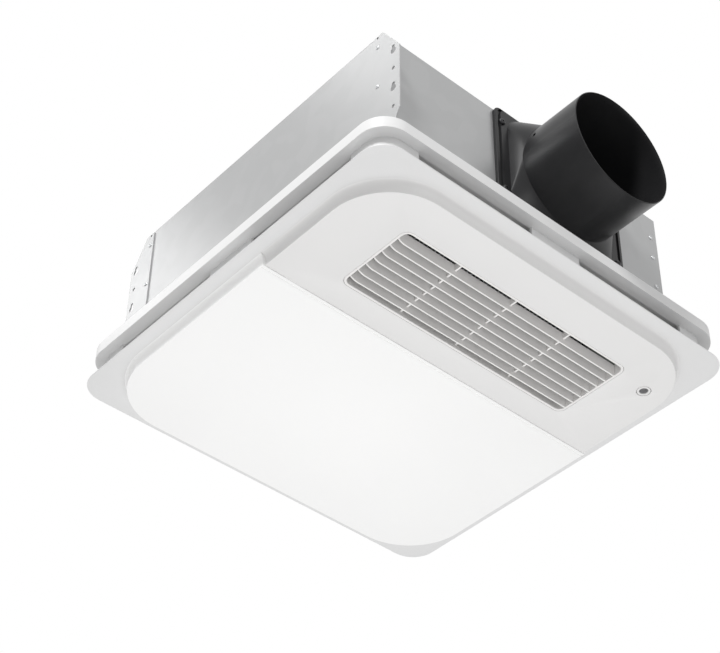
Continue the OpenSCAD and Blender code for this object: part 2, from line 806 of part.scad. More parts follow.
// Air box: takes the blower's outlet, feeds the duct or the heater below
box_z = scroll_z;
port_r = 40;
chute_t = 1.2;
ledge_h = 3.7;
flap_pivot_in = 6.2;
flap_pivot_up = 6;
pivot_x = in_x - flap_pivot_in;
pivot_z = box_z + flap_pivot_up;
flap_shaft_r = 2;
bush_r = 3.4;
bush_flange_r = 4.5;
bush_flange_t = 1.5;
lug_reach = 17.5;
module air_box() {
    color(galvanised)
    difference() {
        block([box_x, -box_half_y, box_z + casing_t], [in_x, box_half_y, top_in]);
        block([box_x + casing_t, casing_t - box_half_y, box_z],
            [in_x - casing_t, box_half_y - casing_t, top_in - casing_t]);
        block([box_x - cut, blower_y + outlet_low, box_z + casing_t],
            [box_x + casing_t + cut, blower_y + outlet_high, scroll_z + scroll_h - casing_t]);
        translate([in_x - casing_t - cut, duct_y, duct_z]) rotate([0, 90, 0])
            cylinder(r = port_r, h = casing_t + 2 * cut);
        translate([pivot_x, 0, pivot_z]) rotate([90, 0, 0])
            cylinder(r = bush_r, h = 2 * box_half_y + 2 * cut, center = true);
        at_flap_motor_screws() cylinder(r = screw_r, h = 4 * casing_t, center = true);
        for (sy = [-1, 1], sz = [-1, 1])
            translate([in_x, duct_y + sy * adapter_screw_y, duct_z + sz * adapter_screw_z])
                rotate([0, 90, 0]) cylinder(r = screw_r, h = 4 * casing_t, center = true);
    }
}

// Floor of the air box, with a raised rim round the way to the heater
module air_box_floor() {
    color(galvanised)
    difference() {
        union() {
            block([box_x, -box_half_y, box_z], [in_x, box_half_y, box_z + casing_t]);
            translate([vent_x, 0, box_z]) linear_extrude(ledge_h + casing_t)
                square([2 * chute_half_x, 2 * chute_half_y], center = true);
        }
        translate([vent_x, 0, box_z - cut]) linear_extrude(ledge_h + casing_t + 2 * cut)
            square([2 * (chute_half_x - chute_t), 2 * (chute_half_y - chute_t)], center = true);
    }
}

// Mode flap: a ribbed plate on a tube that the shaft turns
mode_flap_tip_gap = 2.8;
mode_flap_len = pivot_x - box_x - casing_t - mode_flap_tip_gap;
mode_flap_t = 1.5;
mode_flap_end_gap = 3.8;
mode_flap_half_y = box_half_y - casing_t - mode_flap_end_gap;
tube_r = 3.2;
rib_h = 2.5;
rib_places = [-0.75, -0.25, 0.25, 0.75];
module mode_flap() {
    color(grey_plastic)
    translate([pivot_x, 0, pivot_z]) difference() {
        union() {
            block([-mode_flap_len, -mode_flap_half_y, -mode_flap_t / 2],
                [0, mode_flap_half_y, mode_flap_t / 2]);
            rotate([90, 0, 0]) cylinder(r = tube_r, h = 2 * mode_flap_half_y, center = true);
            for (share = rib_places)
                translate([-mode_flap_len, share * mode_flap_half_y, 0])
                    cube([mode_flap_len, mode_flap_t, rib_h]);
        }
        rotate([90, 0, 0])
            cylinder(r = flap_shaft_r, h = 2 * mode_flap_half_y + 2 * cut, center = true);
    }
}

flap_shaft_out = 11;
flap_shaft_end = 1;
module flap_shaft() {
    color(zinc)
    translate([pivot_x, -box_half_y - flap_shaft_out, pivot_z]) rotate([-90, 0, 0])
        cylinder(r = flap_shaft_r, h = 2 * box_half_y + flap_shaft_out + flap_shaft_end);
}

module flap_bushes() {
    color(white_plastic)
    for (s = [-1, 1]) mirror([0, s < 0 ? 1 : 0, 0])
        translate([pivot_x, box_half_y, pivot_z]) rotate([90, 0, 0]) difference() {
            union() {
                cylinder(r = bush_r, h = casing_t);
                translate([0, 0, casing_t]) cylinder(r = bush_flange_r, h = bush_flange_t);
            }
            translate([0, 0, -cut]) cylinder(r = flap_shaft_r + shaft_clear,
                h = casing_t + bush_flange_t + 2 * cut);
        }
}

// Geared motor that turns the mode flap; its output is off its middle
flap_motor_r = 14;
flap_motor_h = 19;
flap_motor_offset = 8;
flap_motor_x = pivot_x - flap_motor_offset;
lug_t = 1;
lug_r = 3.5;
lug_angles = [90, 180];
module at_flap_motor_screws() {
    translate([flap_motor_x, -box_half_y, pivot_z]) rotate([90, 0, 0])
        for (a = lug_angles) rotate(a) translate([lug_reach, 0, 0]) children();
}
module flap_motor() {
    color(aluminium)
    translate([flap_motor_x, -box_half_y, pivot_z]) rotate([90, 0, 0]) difference() {
        union() {
            cylinder(r = flap_motor_r, h = flap_motor_h);
            linear_extrude(lug_t) for (a = lug_angles) rotate(a) {
                translate([0, -lug_r]) square([lug_reach, 2 * lug_r]);
                translate([lug_reach, 0]) circle(lug_r);
            }
            translate([-lug_r, -flap_motor_r - lug_r, lug_t])
                cube([2 * lug_r, 2 * lug_r, flap_motor_h - 2 * lug_t]);
        }
        for (a = lug_angles) rotate(a) translate([lug_reach, 0, -cut])
            cylinder(r = screw_r, h = lug_t + 2 * cut);
        translate([flap_motor_offset, 0, -cut])
            cylinder(r = flap_shaft_r + shaft_clear, h = flap_shaft_out + flap_shaft_end + cut);
    }
}

module flap_motor_screws() {
    color(zinc)
    at_flap_motor_screws() translate([0, 0, lug_t]) mirror([0, 0, 1]) screw(lug_t + casing_t);
}

// Heater chute from the air box down to the grille
face_z = panel_back_z - plate_t - face_drop;
grille_h = 9.9;
grille_top_z = face_z + grille_h;
chute_z = grille_top_z + part_gap;
module heater_chute() {
    color(galvanised)
    translate([vent_x, 0, chute_z]) linear_extrude(box_z - chute_z) difference() {
        square([2 * chute_half_x, 2 * chute_half_y], center = true);
        square([2 * (chute_half_x - chute_t), 2 * (chute_half_y - chute_t)], center = true);
    }
}

// Frame of the heating core, seated in the chute
core_z = 0;
core_frame_t = 2.4;
core_half_x = chute_half_x - chute_t;
core_half_y = chute_half_y - chute_t;
frame_stay_w = 5;
module core_frame() {
    color(black_plastic)
    translate([vent_x, 0, core_z]) {
        linear_extrude(core_h) difference() {
            square([2 * core_half_x, 2 * core_half_y], center = true);
            square([2 * (core_half_x - core_frame_t), 2 * (core_half_y - core_frame_t)],
                center = true);
        }
        // stays that keep the core from dropping out
        for (s = [-1, 1])
            translate([-core_half_x, s * core_half_y / 3 - frame_stay_w / 2, -core_frame_t])
                cube([2 * core_half_x, frame_stay_w, core_frame_t]);
    }
}

// Heating bars with folded fins between them
bar_t = 3;
side_sheet_t = 0.6;
fin_half_t = 0.5;
core_in_x = core_half_x - core_frame_t;
core_in_y = core_half_y - core_frame_t;
bar_pitch = (2 * core_in_x - 2 * side_sheet_t + bar_t) / (bar_count + 1);
fin_reach = (bar_pitch - bar_t) / 2 + seat;
fin_folds = floor((2 * core_in_y - fin_half_t) / fin_pitch);
// Corner i of the folded strip, from bar to bar, on one side of its middle line
function fold_point(i, side) = [
    (i % 2 == 0 ? -1 : 1) * (fin_reach - fin_half_t) + side, (i - fin_folds) * fin_pitch / 2
];
module folded_fin() {
    polygon(concat(
        [for (i = [0:2 * fin_folds]) fold_point(i, fin_half_t)],
        [for (i = [2 * fin_folds:-1:0]) fold_point(i, -fin_half_t)]
    ));
}
module heating_core() {
    color(aluminium)
    translate([vent_x, 0, core_z]) linear_extrude(core_h) {
        for (k = [1:bar_count])
            translate([(k - (bar_count + 1) / 2) * bar_pitch, 0])
                square([bar_t, 2 * core_in_y], center = true);
        for (k = [0:bar_count])
            translate([(k - bar_count / 2) * bar_pitch, 0]) folded_fin();
        for (s = [-1, 1])
            translate([s * (core_in_x - side_sheet_t / 2), 0])
                square([side_sheet_t, 2 * core_in_y], center = true);
    }
}

// Thermal cut-out on the chute's inner side
cutout_r = 8;
cutout_h = 6;
cutout_y = 44;
cutout_z = 10;
cutout_tab_w = 5;
cutout_tab_t = 1;
cutout_cap_h = 2;
module heater_cutout() {
    color(black_plastic)
    translate([vent_x - chute_half_x, cutout_y, cutout_z]) rotate([0, -90, 0]) {
        cylinder(r = cutout_r, h = cutout_h);
        translate([0, 0, cutout_h]) cylinder(r = cutout_r / 2, h = cutout_cap_h);
        translate([-cutout_tab_w / 2, -cutout_r - cutout_tab_w, 0])
            cube([cutout_tab_w, 2 * (cutout_r + cutout_tab_w), cutout_tab_t]);
    }
}

// Wiring compartment in the far back corner, closed by a folded cover
cover_w = 70;
cover_d = 61;
cover_h = 63.2;
cover_z = top_in - cover_h;
cover_lip_h = 9;
cover_screw_x = 24;
cover_mid_x = cover_w / 2 - in_x;
module wiring_cover() {
    color(galvanised)
    difference() {
        union() {
            difference() {
                block([sheet_t - in_x, in_y - cover_d, cover_z], [cover_w - in_x, in_y, top_in]);
                block([-in_x, in_y - cover_d + sheet_t, cover_z + sheet_t],
                    [cover_w - in_x - sheet_t, in_y + cut, top_in + cut]);
            }
            block([sheet_t - in_x, in_y - sheet_t, cover_z - cover_lip_h],
                [cover_w - in_x, in_y, cover_z + sheet_t]);
        }
        for (s = [-1, 1])
            translate([cover_mid_x + s * cover_screw_x, in_y + cut, cover_z - cover_lip_h / 2])
                rotate([90, 0, 0]) cylinder(r = screw_r, h = sheet_t + 2 * cut);
    }
}

module wiring_cover_screws() {
    color(zinc)
    for (s = [-1, 1])
        translate([cover_mid_x + s * cover_screw_x, in_y - sheet_t, cover_z - cover_lip_h / 2])
            rotate([-90, 0, 0]) screw(2 * sheet_t);
}

// Terminal block with a screw well over each pole
pole_count = 3;
pole_w = 10;
terminal_d = 18;
terminal_h = 15;
well_r = 2.6;
entry_r = 2;
terminal_x = 16;
terminal_y = 20;
module terminal_block() {
    color(white_plastic)
    translate([terminal_x - in_x, in_y - terminal_y - terminal_d, top_in - terminal_h])
    difference() {
        cube([pole_count * pole_w, terminal_d, terminal_h]);
        for (k = [0:pole_count - 1]) translate([(k + 0.5) * pole_w, 0, 0]) {
            for (y = [terminal_d / 4, terminal_d * 3 / 4])
                translate([0, y, -cut]) cylinder(r = well_r, h = terminal_h / 2 + cut);
            translate([0, -cut, terminal_h / 3]) rotate([-90, 0, 0])
                cylinder(r = entry_r, h = terminal_d + 2 * cut);
        }
    }
}

ground_x = 56;
ground_drop = 43.2;
ground_z = top_in - ground_drop;
ground_washer_r = 4;
ground_washer_t = 1;
module ground_screw() {
    color(board_green)
    translate([ground_x - in_x, in_y, ground_z]) rotate([90, 0, 0]) {
        cylinder(r = ground_washer_r, h = ground_washer_t);
        translate([0, 0, ground_washer_t])
            cylinder(r = screw_head_r, h = 2 * screw_head_t, $fn = 6);
    }
}

// Snap-in bush for the supply cable
bush_bore_r = 7;
bush_head_r = 14;
bush_head_t = 2;
bush_stem = 9;
bush_barb_t = 2;
bush_barb_in = 1;
module cable_bush() {
    color(black_plastic)
    translate([-half_x - bush_head_t, knockout_y, knockout_z]) rotate([0, 90, 0]) difference() {
        union() {
            cylinder(r = bush_head_r, h = bush_head_t);
            cylinder(r = bush_stem_r, h = bush_head_t + sheet_t + bush_stem);
            translate([0, 0, bush_head_t + sheet_t])
                cylinder(r1 = bush_head_r - bush_barb_in, r2 = bush_stem_r, h = bush_barb_t);
        }
        translate([0, 0, -cut])
            cylinder(r = bush_bore_r, h = bush_head_t + sheet_t + bush_stem + 2 * cut);
    }
}

// Control box with a louvred lid
control_gap = 10.2;
control_x = cover_w - in_x + control_gap;
control_w = 62;
control_d = 50;
control_h = 35;
control_r = 4;
vent_slots = 5;
slot_w = 2.5;
slot_d = 1;
module control_box() {
    color(black_plastic)
    translate([control_x + control_w / 2, in_y - control_d / 2, top_in - control_h])
    difference() {
        round_plate(control_w / 2, control_d / 2, control_r, control_h);
        translate([0, control_d / 4, -cut])
            round_plate(control_w / 4, control_r, control_r / 2, cut + slot_d);
        for (k = [0:vent_slots - 1])
            translate([(k - (vent_slots - 1) / 2) * 2 * slot_w - slot_w / 2, -control_d / 2 - cut,
                control_h / 4])
                cube([slot_w, cut + slot_d, control_h / 2]);
    }
}

// Motor capacitor: oval can on the side wall
capacitor_w = 38;
capacitor_gap = 3;
capacitor_x = control_x + control_w + capacitor_gap + capacitor_w / 2;
capacitor_d = 17;
capacitor_h = 27;
capacitor_drop = 35.2;
capacitor_z = top_in - capacitor_drop;
terminal_tab_h = 5;
terminal_tab_t = 0.8;
terminal_tab_w = 6.3;
capacitor_flat = 2;
module motor_capacitor() {
    color(grey_plastic)
    translate([capacitor_x, in_y - capacitor_d / 2, capacitor_z]) {
        round_plate(capacitor_w / 2, capacitor_d / 2, (capacitor_d - capacitor_flat) / 2,
            capacitor_h);
        for (s = [-1, 1]) translate([s * capacitor_w / 5, 0, -terminal_tab_h])
            linear_extrude(terminal_tab_h)
                square([terminal_tab_t, terminal_tab_w], center = true);
    }
}

// Light driver: finned box on the side wall
driver_w = 70;
driver_d = 36;
driver_h = 24;
driver_z = 34;
driver_fins = 9;
driver_r = 3;
driver_fin_w = 2;
driver_fin_d = 1.5;
driver_spring_gap = 29;
driver_x = spring_x - driver_spring_gap - driver_w / 2;
module light_driver() {
    color(white_plastic)
    translate([driver_x, in_y - driver_d / 2, driver_z]) difference() {
        round_plate(driver_w / 2, driver_d / 2, driver_r, driver_h);
        for (k = [1:driver_fins])
            translate([(k / (driver_fins + 1) - 0.5) * driver_w - driver_fin_w / 2,
                -driver_d / 2 - cut, -cut])
                cube([driver_fin_w, driver_fin_d + cut, driver_h + 2 * cut]);
    }
}

// Slotted brackets that the panel springs hang in
bracket_w = 52;
bracket_t = 1;
bracket_up = 12;
slot_len = 42;
slot_half_w = 5.5;
slot_r = 4.5;
slot_edge_w = 2;
module spring_brackets() {
    color(galvanised)
    for (s = [-1, 1]) mirror([0, s < 0 ? 1 : 0, 0]) translate([spring_x, 0, sheet_t])
        difference() {
            union() {
                block([-bracket_w / 2, spring_y - slot_half_w - slot_edge_w, 0],
                    [bracket_w / 2, in_y, bracket_t]);
                block([-bracket_w / 2, in_y - bracket_t, 0], [bracket_w / 2, in_y, bracket_up]);
            }
            translate([0, spring_y, -cut])
                round_plate(slot_len / 2, slot_half_w, slot_r, bracket_t + 2 * cut);
        }
}

// Panel plate: a thin square rim round the raised face
plate_z = panel_back_z - plate_t;
plate_bevel = 1.6;
plate_bevel_h = 1.4;
corner_n = 12;
foot_half = face_half + cove_run;
foot_r = face_corner_r + cove_run;
foot_gap = 0.3;
module panel_plate() {
    color(white_plastic)
    difference() {
        loft([
            rounded(panel_half - plate_bevel, panel_half - plate_bevel, plate_face_r, plate_z,
                corner_n),
            rounded(panel_half, panel_half, plate_corner_r, plate_z + plate_bevel_h, corner_n),
            rounded(panel_half, panel_half, plate_corner_r, panel_back_z, corner_n)
        ]);
        translate([0, 0, plate_z - cut]) round_plate(foot_half + foot_gap, foot_half + foot_gap,
            foot_r + foot_gap, plate_t + 2 * cut);
        panel_screw_holes();
    }
}

// Raised face with its hollow cove, shared by the diffuser and the vent cover
edge_round = 1;
edge_share = 0.3;
cove_steps = 6;
wall_in = 2.5;
flange_out = 4;
cove_drop = face_drop - edge_round;
function face_ring(grow, z) =
    rounded(face_half + grow, face_half + grow, face_corner_r + grow, z, corner_n);
module raised_shell() {
    difference() {
        union() {
            loft(concat(
                [
                    face_ring(-edge_round, face_z),
                    face_ring(-edge_round * edge_share, face_z + edge_round * edge_share)
                ],
                [
                    for (i = [cove_steps:-1:0])
                        let (a = 90 * i / cove_steps)
                        face_ring(cove_run * (1 - sin(a)), plate_z - cove_drop * (1 - cos(a)))
                ],
                [face_ring(cove_run, panel_back_z)]
            ));
            translate([0, 0, panel_back_z])
                round_plate(foot_half + flange_out, foot_half + flange_out, foot_r + flange_out,
                    cover_flange_t);
        }
        translate([0, 0, face_z + cover_t])
            round_plate(face_half - wall_in, face_half - wall_in, face_corner_r - wall_in,
                2 * face_drop);
        panel_screw_holes();
    }
}
split_gap = 0.8;
module light_diffuser() {
    color(opal)
    intersection() {
        raised_shell();
        block([-panel_side, -panel_side, 2 * face_z], [split_x - split_gap / 2, panel_side, 0]);
    }
}

grille_rim = 2;
grille_fit = 0.2;
grille_r = 5;
bezel_gap = 0.55;
module vent_cover() {
    color(white_plastic)
    difference() {
        intersection() {
            raised_shell();
            block([split_x + split_gap / 2, -panel_side, 2 * face_z], [panel_side, panel_side, 0]);
        }
        translate([vent_x, 0, face_z - cut])
            round_plate(vent_w / 2 + grille_rim + grille_fit, vent_l / 2 + grille_rim + grille_fit,
                grille_r + grille_rim, cover_t + 2 * cut);
        translate([receiver_x, receiver_y, face_z - cut])
            cylinder(r = bezel_r + bezel_gap, h = cover_t + 2 * cut);
    }
}

// Louvre grille: a rimmed frame, slats with swept-up ends and cross ribs behind
collar_wall = 1.5;
grille_lip = 4;
grille_lip_t = 1.2;
slat_sink = 0.3;
slat_end_run = 9;
slat_station_shares = [0, 0.08, 0.2, 0.4, 0.7, 1];
rib_t = 1.4;
rib_low = 4;
slat_pitch = vent_w / (slat_count + 1);
slat_reach = vent_l / 2 + collar_wall / 2;
// Rise of the lower edge at a share of the run in from the slat's end
function end_rise(share) = slat_end_rise * (1 - sqrt(1 - pow(1 - share, 2)));
// Section of a slat at y, with its lower edge lifted by rise, as a ring round +Y
function slat_ring(y, rise) =
    let (low = slat_sink + rise, lean = tan(slat_lean), t = slat_t / 2, top = slat_sink + slat_depth)
    [
        [t / 2 + lean * top, y, top],
        [t + lean * (low + t), y, low + t],
        [lean * low, y, low],
        [-t + lean * (low + t), y, low + t],
        [-t / 2 + lean * top, y, top]
    ];
slat_rings = concat(
    [for (s = slat_station_shares) slat_ring(s * slat_end_run - slat_reach, end_rise(s))],
    [slat_ring(slat_reach, 0)]
);
module grille_opening(h) {
    round_plate(vent_w / 2, vent_l / 2, grille_r, h);
}
module louvre_grille() {
    color(white_plastic)
    translate([vent_x, 0, face_z]) {
        difference() {
            union() {
                round_plate(vent_w / 2 + grille_rim, vent_l / 2 + grille_rim,
                    grille_r + grille_rim, cover_t);
                round_plate(vent_w / 2 + collar_wall, vent_l / 2 + collar_wall,
                    grille_r + collar_wall, grille_h);
                translate([0, 0, cover_t])
                    round_plate(vent_w / 2 + grille_lip, vent_l / 2 + grille_lip,
                        grille_r + grille_lip, grille_lip_t);
            }
            translate([0, 0, -cut]) grille_opening(grille_h + 2 * cut);
        }
        for (k = [1:slat_count])
            translate([k * slat_pitch - vent_w / 2 - tan(slat_lean) * slat_depth / 2, 0, 0])
                loft(slat_rings);
        for (k = [1:rib_count])
            translate([-vent_w / 2 - collar_wall / 2,
                (k / (rib_count + 1) - 0.5) * vent_l - rib_t / 2, rib_low])
                cube([vent_w + collar_wall, rib_t, grille_h - rib_low]);
    }
}

// Light tray, board and emitters above the diffuser
tray_in = 6;
tray_r = 45;
tray_t = 0.8;
tray_foot_z = face_z + cover_t;
tray_z = tray_foot_z + tray_rise;
tray_half = face_half - tray_in;
module tray_outline(inset) {
    intersection() {
        translate([0, 0, -panel_side]) round_plate(tray_half - inset, tray_half - inset,
            tray_r - inset, 2 * panel_side);
        block([-panel_side, -panel_side, -panel_side],
            [tray_edge_x - inset, panel_side, panel_side]);
    }
}
module light_tray() {
    color(white_plastic)
    difference() {
        intersection() {
            tray_outline(0);
            block([-panel_side, -panel_side, tray_foot_z], [panel_side, panel_side, tray_z + tray_t]);
        }
        intersection() {
            tray_outline(tray_t);
            block([-panel_side, -panel_side, tray_foot_z - cut], [panel_side, panel_side, tray_z]);
        }
    }
}

board_t = 1.6;
board_margin = 14;
board_x0 = board_margin - tray_half;
board_x1 = tray_edge_x - board_margin;
board_half_y = tray_half - board_margin;
board_corner_r = 30;
module led_board() {
    color(aluminium)
    translate([(board_x0 + board_x1) / 2, 0, tray_z - board_t])
        round_plate((board_x1 - board_x0) / 2, board_half_y, board_corner_r, board_t);
}

led_w = 5;
led_h = 1;
led_margin = 16;
module led_emitters() {
    color("#f4e9a8")
    for (i = [0:led_rows - 1], j = [0:led_rows - 1])
        translate([
            board_x0 + led_margin + i * (board_x1 - board_x0 - 2 * led_margin) / (led_rows - 1),
            (2 * j / (led_rows - 1) - 1) * (board_half_y - led_margin),
            tray_z - board_t - led_h
        ])
            linear_extrude(led_h) square(led_w, center = true);
}

// Remote receiver: bezel, domed lens and small board
bezel_h = 5;
bezel_lip_r = 8;
bezel_lip_t = 1;
lens_h = 4;
lens_dome = 0.5;
lens_sink = 0.4;
module receiver_bezel() {
    color(white_plastic)
    translate([receiver_x, receiver_y, face_z]) difference() {
        union() {
            cylinder(r = bezel_r, h = bezel_h);
            translate([0, 0, cover_t]) cylinder(r = bezel_lip_r, h = bezel_lip_t);
        }
        translate([0, 0, -cut]) cylinder(r = lens_r, h = bezel_h + 2 * cut);
    }
}

module receiver_lens() {
    color("#3a3d42")
    translate([receiver_x, receiver_y, face_z + lens_sink])
        rotate_extrude() polygon([
            [0, 0], [lens_r / 2, lens_dome / 4], [lens_r, lens_dome],
            [lens_r, bezel_h - lens_sink], [0, bezel_h - lens_sink]
        ]);
}

receiver_board_w = 24;
receiver_board_l = 16;
board_chip_w = 4;
board_chip_l = 6;
board_chip_h = 2;
module receiver_board() {
    color(board_green)
    translate([receiver_x, receiver_y, face_z + bezel_h]) {
        linear_extrude(board_t) square([receiver_board_w, receiver_board_l], center = true);
        translate([receiver_board_w / 4, 0, board_t])
            linear_extrude(board_chip_h) square([board_chip_w, board_chip_l], center = true);
    }
}

// Panel springs: two arms and a coil in one wire
wire_r = 1;
wire_sides = 6;
coil_r = 4;
coil_pitch = 2.4;
coil_step_a = 22.5;
arm_len = 64;
arm_lean = 12;
hook_len = 6;
hook_drop = 3;
coil_up = 7;
coil_z = tray_z + tray_t + coil_up;
coil_a0 = 180 + arm_lean;
coil_a1 = 720 + 360 - arm_lean;
coil_points = [
    for (a = [coil_a0:coil_step_a:coil_a1])
        [coil_r * cos(a), coil_pitch * ((a - coil_a0) / 360 - (coil_a1 - coil_a0) / 720),
            coil_r * sin(a)]
];
arm_top = [coil_r * cos(arm_lean) + arm_len * sin(arm_lean), arm_len * cos(arm_lean)];
coil_half = coil_pitch * (coil_a1 - coil_a0) / 720;
spring_path = concat(
    [
        [-arm_top[0] - hook_len, -coil_half, arm_top[1] - hook_drop],
        [-arm_top[0] - hook_len / 3, -coil_half, arm_top[1]],
        [-arm_top[0], -coil_half, arm_top[1] - wire_r]
    ],
    coil_points,
    [
        [arm_top[0], coil_half, arm_top[1] - wire_r],
        [arm_top[0] + hook_len / 3, coil_half, arm_top[1]],
        [arm_top[0] + hook_len, coil_half, arm_top[1] - hook_drop]
    ]
);
function unit(v) = v / norm(v);
// Rings of a round wire along a path that stays near the XZ plane
function wire_rings(p) = [
    for (i = [0:len(p) - 1])
        let (
            ahead = unit(p[min(i + 1, len(p) - 1)] - p[max(i - 1, 0)]),
            side = unit(cross(ahead, [0, 1, 0])),
            up = cross(ahead, side)
        )
        [for (k = [0:wire_sides - 1])
            p[i] + wire_r * (cos(360 * k / wire_sides) * side + sin(360 * k / wire_sides) * up)]
];
module panel_springs() {
    color(zinc)
    for (s = [-1, 1]) translate([spring_x, s * spring_y, coil_z]) loft(wire_rings(spring_path));
}

// Clips that hold the spring coils on the tray
clip_half_w = 7;
clip_t = 1;
clip_half_y = 6;
clip_pin_r = 2.6;
clip_round_r = 5;
module spring_clips() {
    color(zinc)
    for (s = [-1, 1]) translate([spring_x, s * spring_y, tray_z + tray_t]) {
        block([-clip_half_w, -clip_half_y, 0], [clip_half_w, clip_half_y, clip_t]);
        for (k = [-1, 1]) translate([0, k * (clip_half_y - clip_t / 2), 0]) rotate([90, 0, 0]) {
            translate([-clip_half_w, 0, -clip_t / 2]) cube([2 * clip_half_w, coil_up / 2, clip_t]);
            translate([0, coil_up, 0]) cylinder(r = clip_round_r, h = clip_t, center = true);
            translate([-clip_round_r, 0, -clip_t / 2]) cube([2 * clip_round_r, coil_up, clip_t]);
        }
        translate([0, 0, coil_up]) rotate([90, 0, 0])
            cylinder(r = clip_pin_r, h = 2 * clip_half_y, center = true);
    }
}

// Screws that clamp the covers' flange on the plate
panel_screw_shares = [-0.55, 0.55];
panel_screw_in = 8.6;
panel_screw_len = 2.4;
module at_panel_screws() {
    for (k = [0:3], share = panel_screw_shares)
        rotate(90 * k)
            translate([panel_half - panel_screw_in, share * face_half, panel_back_z]) children();
}
module panel_screw_holes() {
    at_panel_screws() translate([0, 0, cover_flange_t - panel_screw_len])
        cylinder(r = screw_r, h = 2 * panel_screw_len);
}
module panel_screws() {
    color(zinc)
    at_panel_screws() translate([0, 0, cover_flange_t]) mirror([0, 0, 1]) screw(panel_screw_len);
}

housing_lid();
wall_front();
wall_back();
wall_duct();
wall_far();
hanger_ear_front_duct();
hanger_ear_front_far();
ear_rivets();
seam_rivets();
frame_ring();
frame_screws();
duct_adapter();
adapter_screws();
damper_post();
damper_flap_front();
damper_flap_back();
scroll_casing();
inlet_plate();
inlet_screws();
blower_motor();
motor_screws();
motor_shaft();
impeller();
wheel_cup();
wheel_nut();
air_box();
air_box_floor();
mode_flap();
flap_shaft();
flap_bushes();
flap_motor();
flap_motor_screws();
heater_chute();
core_frame();
heating_core();
heater_cutout();
wiring_cover();
wiring_cover_screws();
terminal_block();
ground_screw();
cable_bush();
control_box();
motor_capacitor();
light_driver();
spring_brackets();
panel_plate();
light_diffuser();
vent_cover();
louvre_grille();
light_tray();
led_board();
led_emitters();
receiver_bezel();
receiver_lens();
receiver_board();
panel_springs();
spring_clips();
panel_screws();
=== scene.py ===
import json
import math

import bmesh
import bpy
from mathutils import Matrix, Vector


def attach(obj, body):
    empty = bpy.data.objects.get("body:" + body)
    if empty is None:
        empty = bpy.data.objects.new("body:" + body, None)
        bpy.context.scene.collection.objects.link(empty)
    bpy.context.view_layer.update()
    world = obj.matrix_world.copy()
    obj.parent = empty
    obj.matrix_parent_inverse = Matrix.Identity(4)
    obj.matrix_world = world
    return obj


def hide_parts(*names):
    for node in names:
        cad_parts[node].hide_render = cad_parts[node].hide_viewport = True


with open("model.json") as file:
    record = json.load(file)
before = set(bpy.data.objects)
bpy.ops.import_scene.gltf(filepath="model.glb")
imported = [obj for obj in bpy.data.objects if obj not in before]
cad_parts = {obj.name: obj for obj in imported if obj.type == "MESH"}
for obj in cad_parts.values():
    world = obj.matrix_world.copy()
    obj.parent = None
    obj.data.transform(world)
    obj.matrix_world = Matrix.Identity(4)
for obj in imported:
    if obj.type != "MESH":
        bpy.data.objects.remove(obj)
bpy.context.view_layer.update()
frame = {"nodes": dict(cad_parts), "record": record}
mm = 0.001
weld = 0.002  # in millimetres, points nearer than this become one
sameSpot = 0.01  # in millimetres, points nearer than this to a plane lie on it
flatTurn = math.radians(0.5)  # faces that meet at less than this are one flat face
noiseBand = (0.3, 0.7)  # nearly all of a noise's values lie between these
print("frame loaded")


# Materials read Object coordinates, so their patterns keep their real size.
def addNode(tree, kind, **values):
    node = tree.nodes.new(kind)
    for key, value in values.items():
        if key in node.inputs:
            node.inputs[key].default_value = value
        else:
            setattr(node, key, value)
    return node


def shade(colour, factor):
    return [min(1, c * factor) for c in colour[:3]] + [1]


def objectPlace(tree, stretch=(1, 1, 1)):
    coords = addNode(tree, "ShaderNodeTexCoord")
    mapping = addNode(tree, "ShaderNodeMapping", Scale=stretch)
    tree.links.new(coords.outputs["Object"], mapping.inputs["Vector"])
    return mapping.outputs["Vector"]


def noiseAt(tree, place, scale, detail=4, rough=0.55):
    noise = addNode(tree, "ShaderNodeTexNoise", Scale=scale, Detail=detail, Roughness=rough)
    tree.links.new(place, noise.inputs["Vector"])
    return noise.outputs["Fac"]


def spread(tree, source, low, high, band=noiseBand):
    node = addNode(tree, "ShaderNodeMapRange")
    for key, value in zip(("From Min", "From Max", "To Min", "To Max"), (*band, low, high)):
        node.inputs[key].default_value = value
    tree.links.new(source, node.inputs["Value"])
    return node.outputs["Result"]


def tint(tree, source, dark, light):
    ramp = addNode(tree, "ShaderNodeValToRGB")
    for stop, position, colour in zip(ramp.color_ramp.elements, noiseBand, (dark, light)):
        stop.position = position
        stop.color = colour
    tree.links.new(source, ramp.inputs["Fac"])
    return ramp.outputs["Color"]


def bumpFrom(tree, source, strength, distance):
    bump = addNode(tree, "ShaderNodeBump", Strength=strength, Distance=distance)
    tree.links.new(source, bump.inputs["Height"])
    return bump.outputs["Normal"]


def surface(name, look):
    material = bpy.data.materials.new(name)
    material.use_nodes = True
    tree = material.node_tree
    shader = tree.nodes["Principled BSDF"]
    place = objectPlace(tree, look.get("stretch", (1, 1, 1)))
    broad = noiseAt(tree, place, look["broad"])
    fine = noiseAt(tree, place, look["fine"], detail=3)
    colour, vary = look["colour"], look["vary"]
    tree.links.new(tint(tree, broad, shade(colour, 1 - vary), shade(colour, 1 + vary)),
                   shader.inputs["Base Color"])
    low, high = look["roughness"]
    tree.links.new(spread(tree, broad, low, high), shader.inputs["Roughness"])
    tree.links.new(bumpFrom(tree, fine, look["bump"], look["grain"]), shader.inputs["Normal"])
    for socket, value in look.get("shader", {}).items():
        shader.inputs[socket].default_value = value
    return material


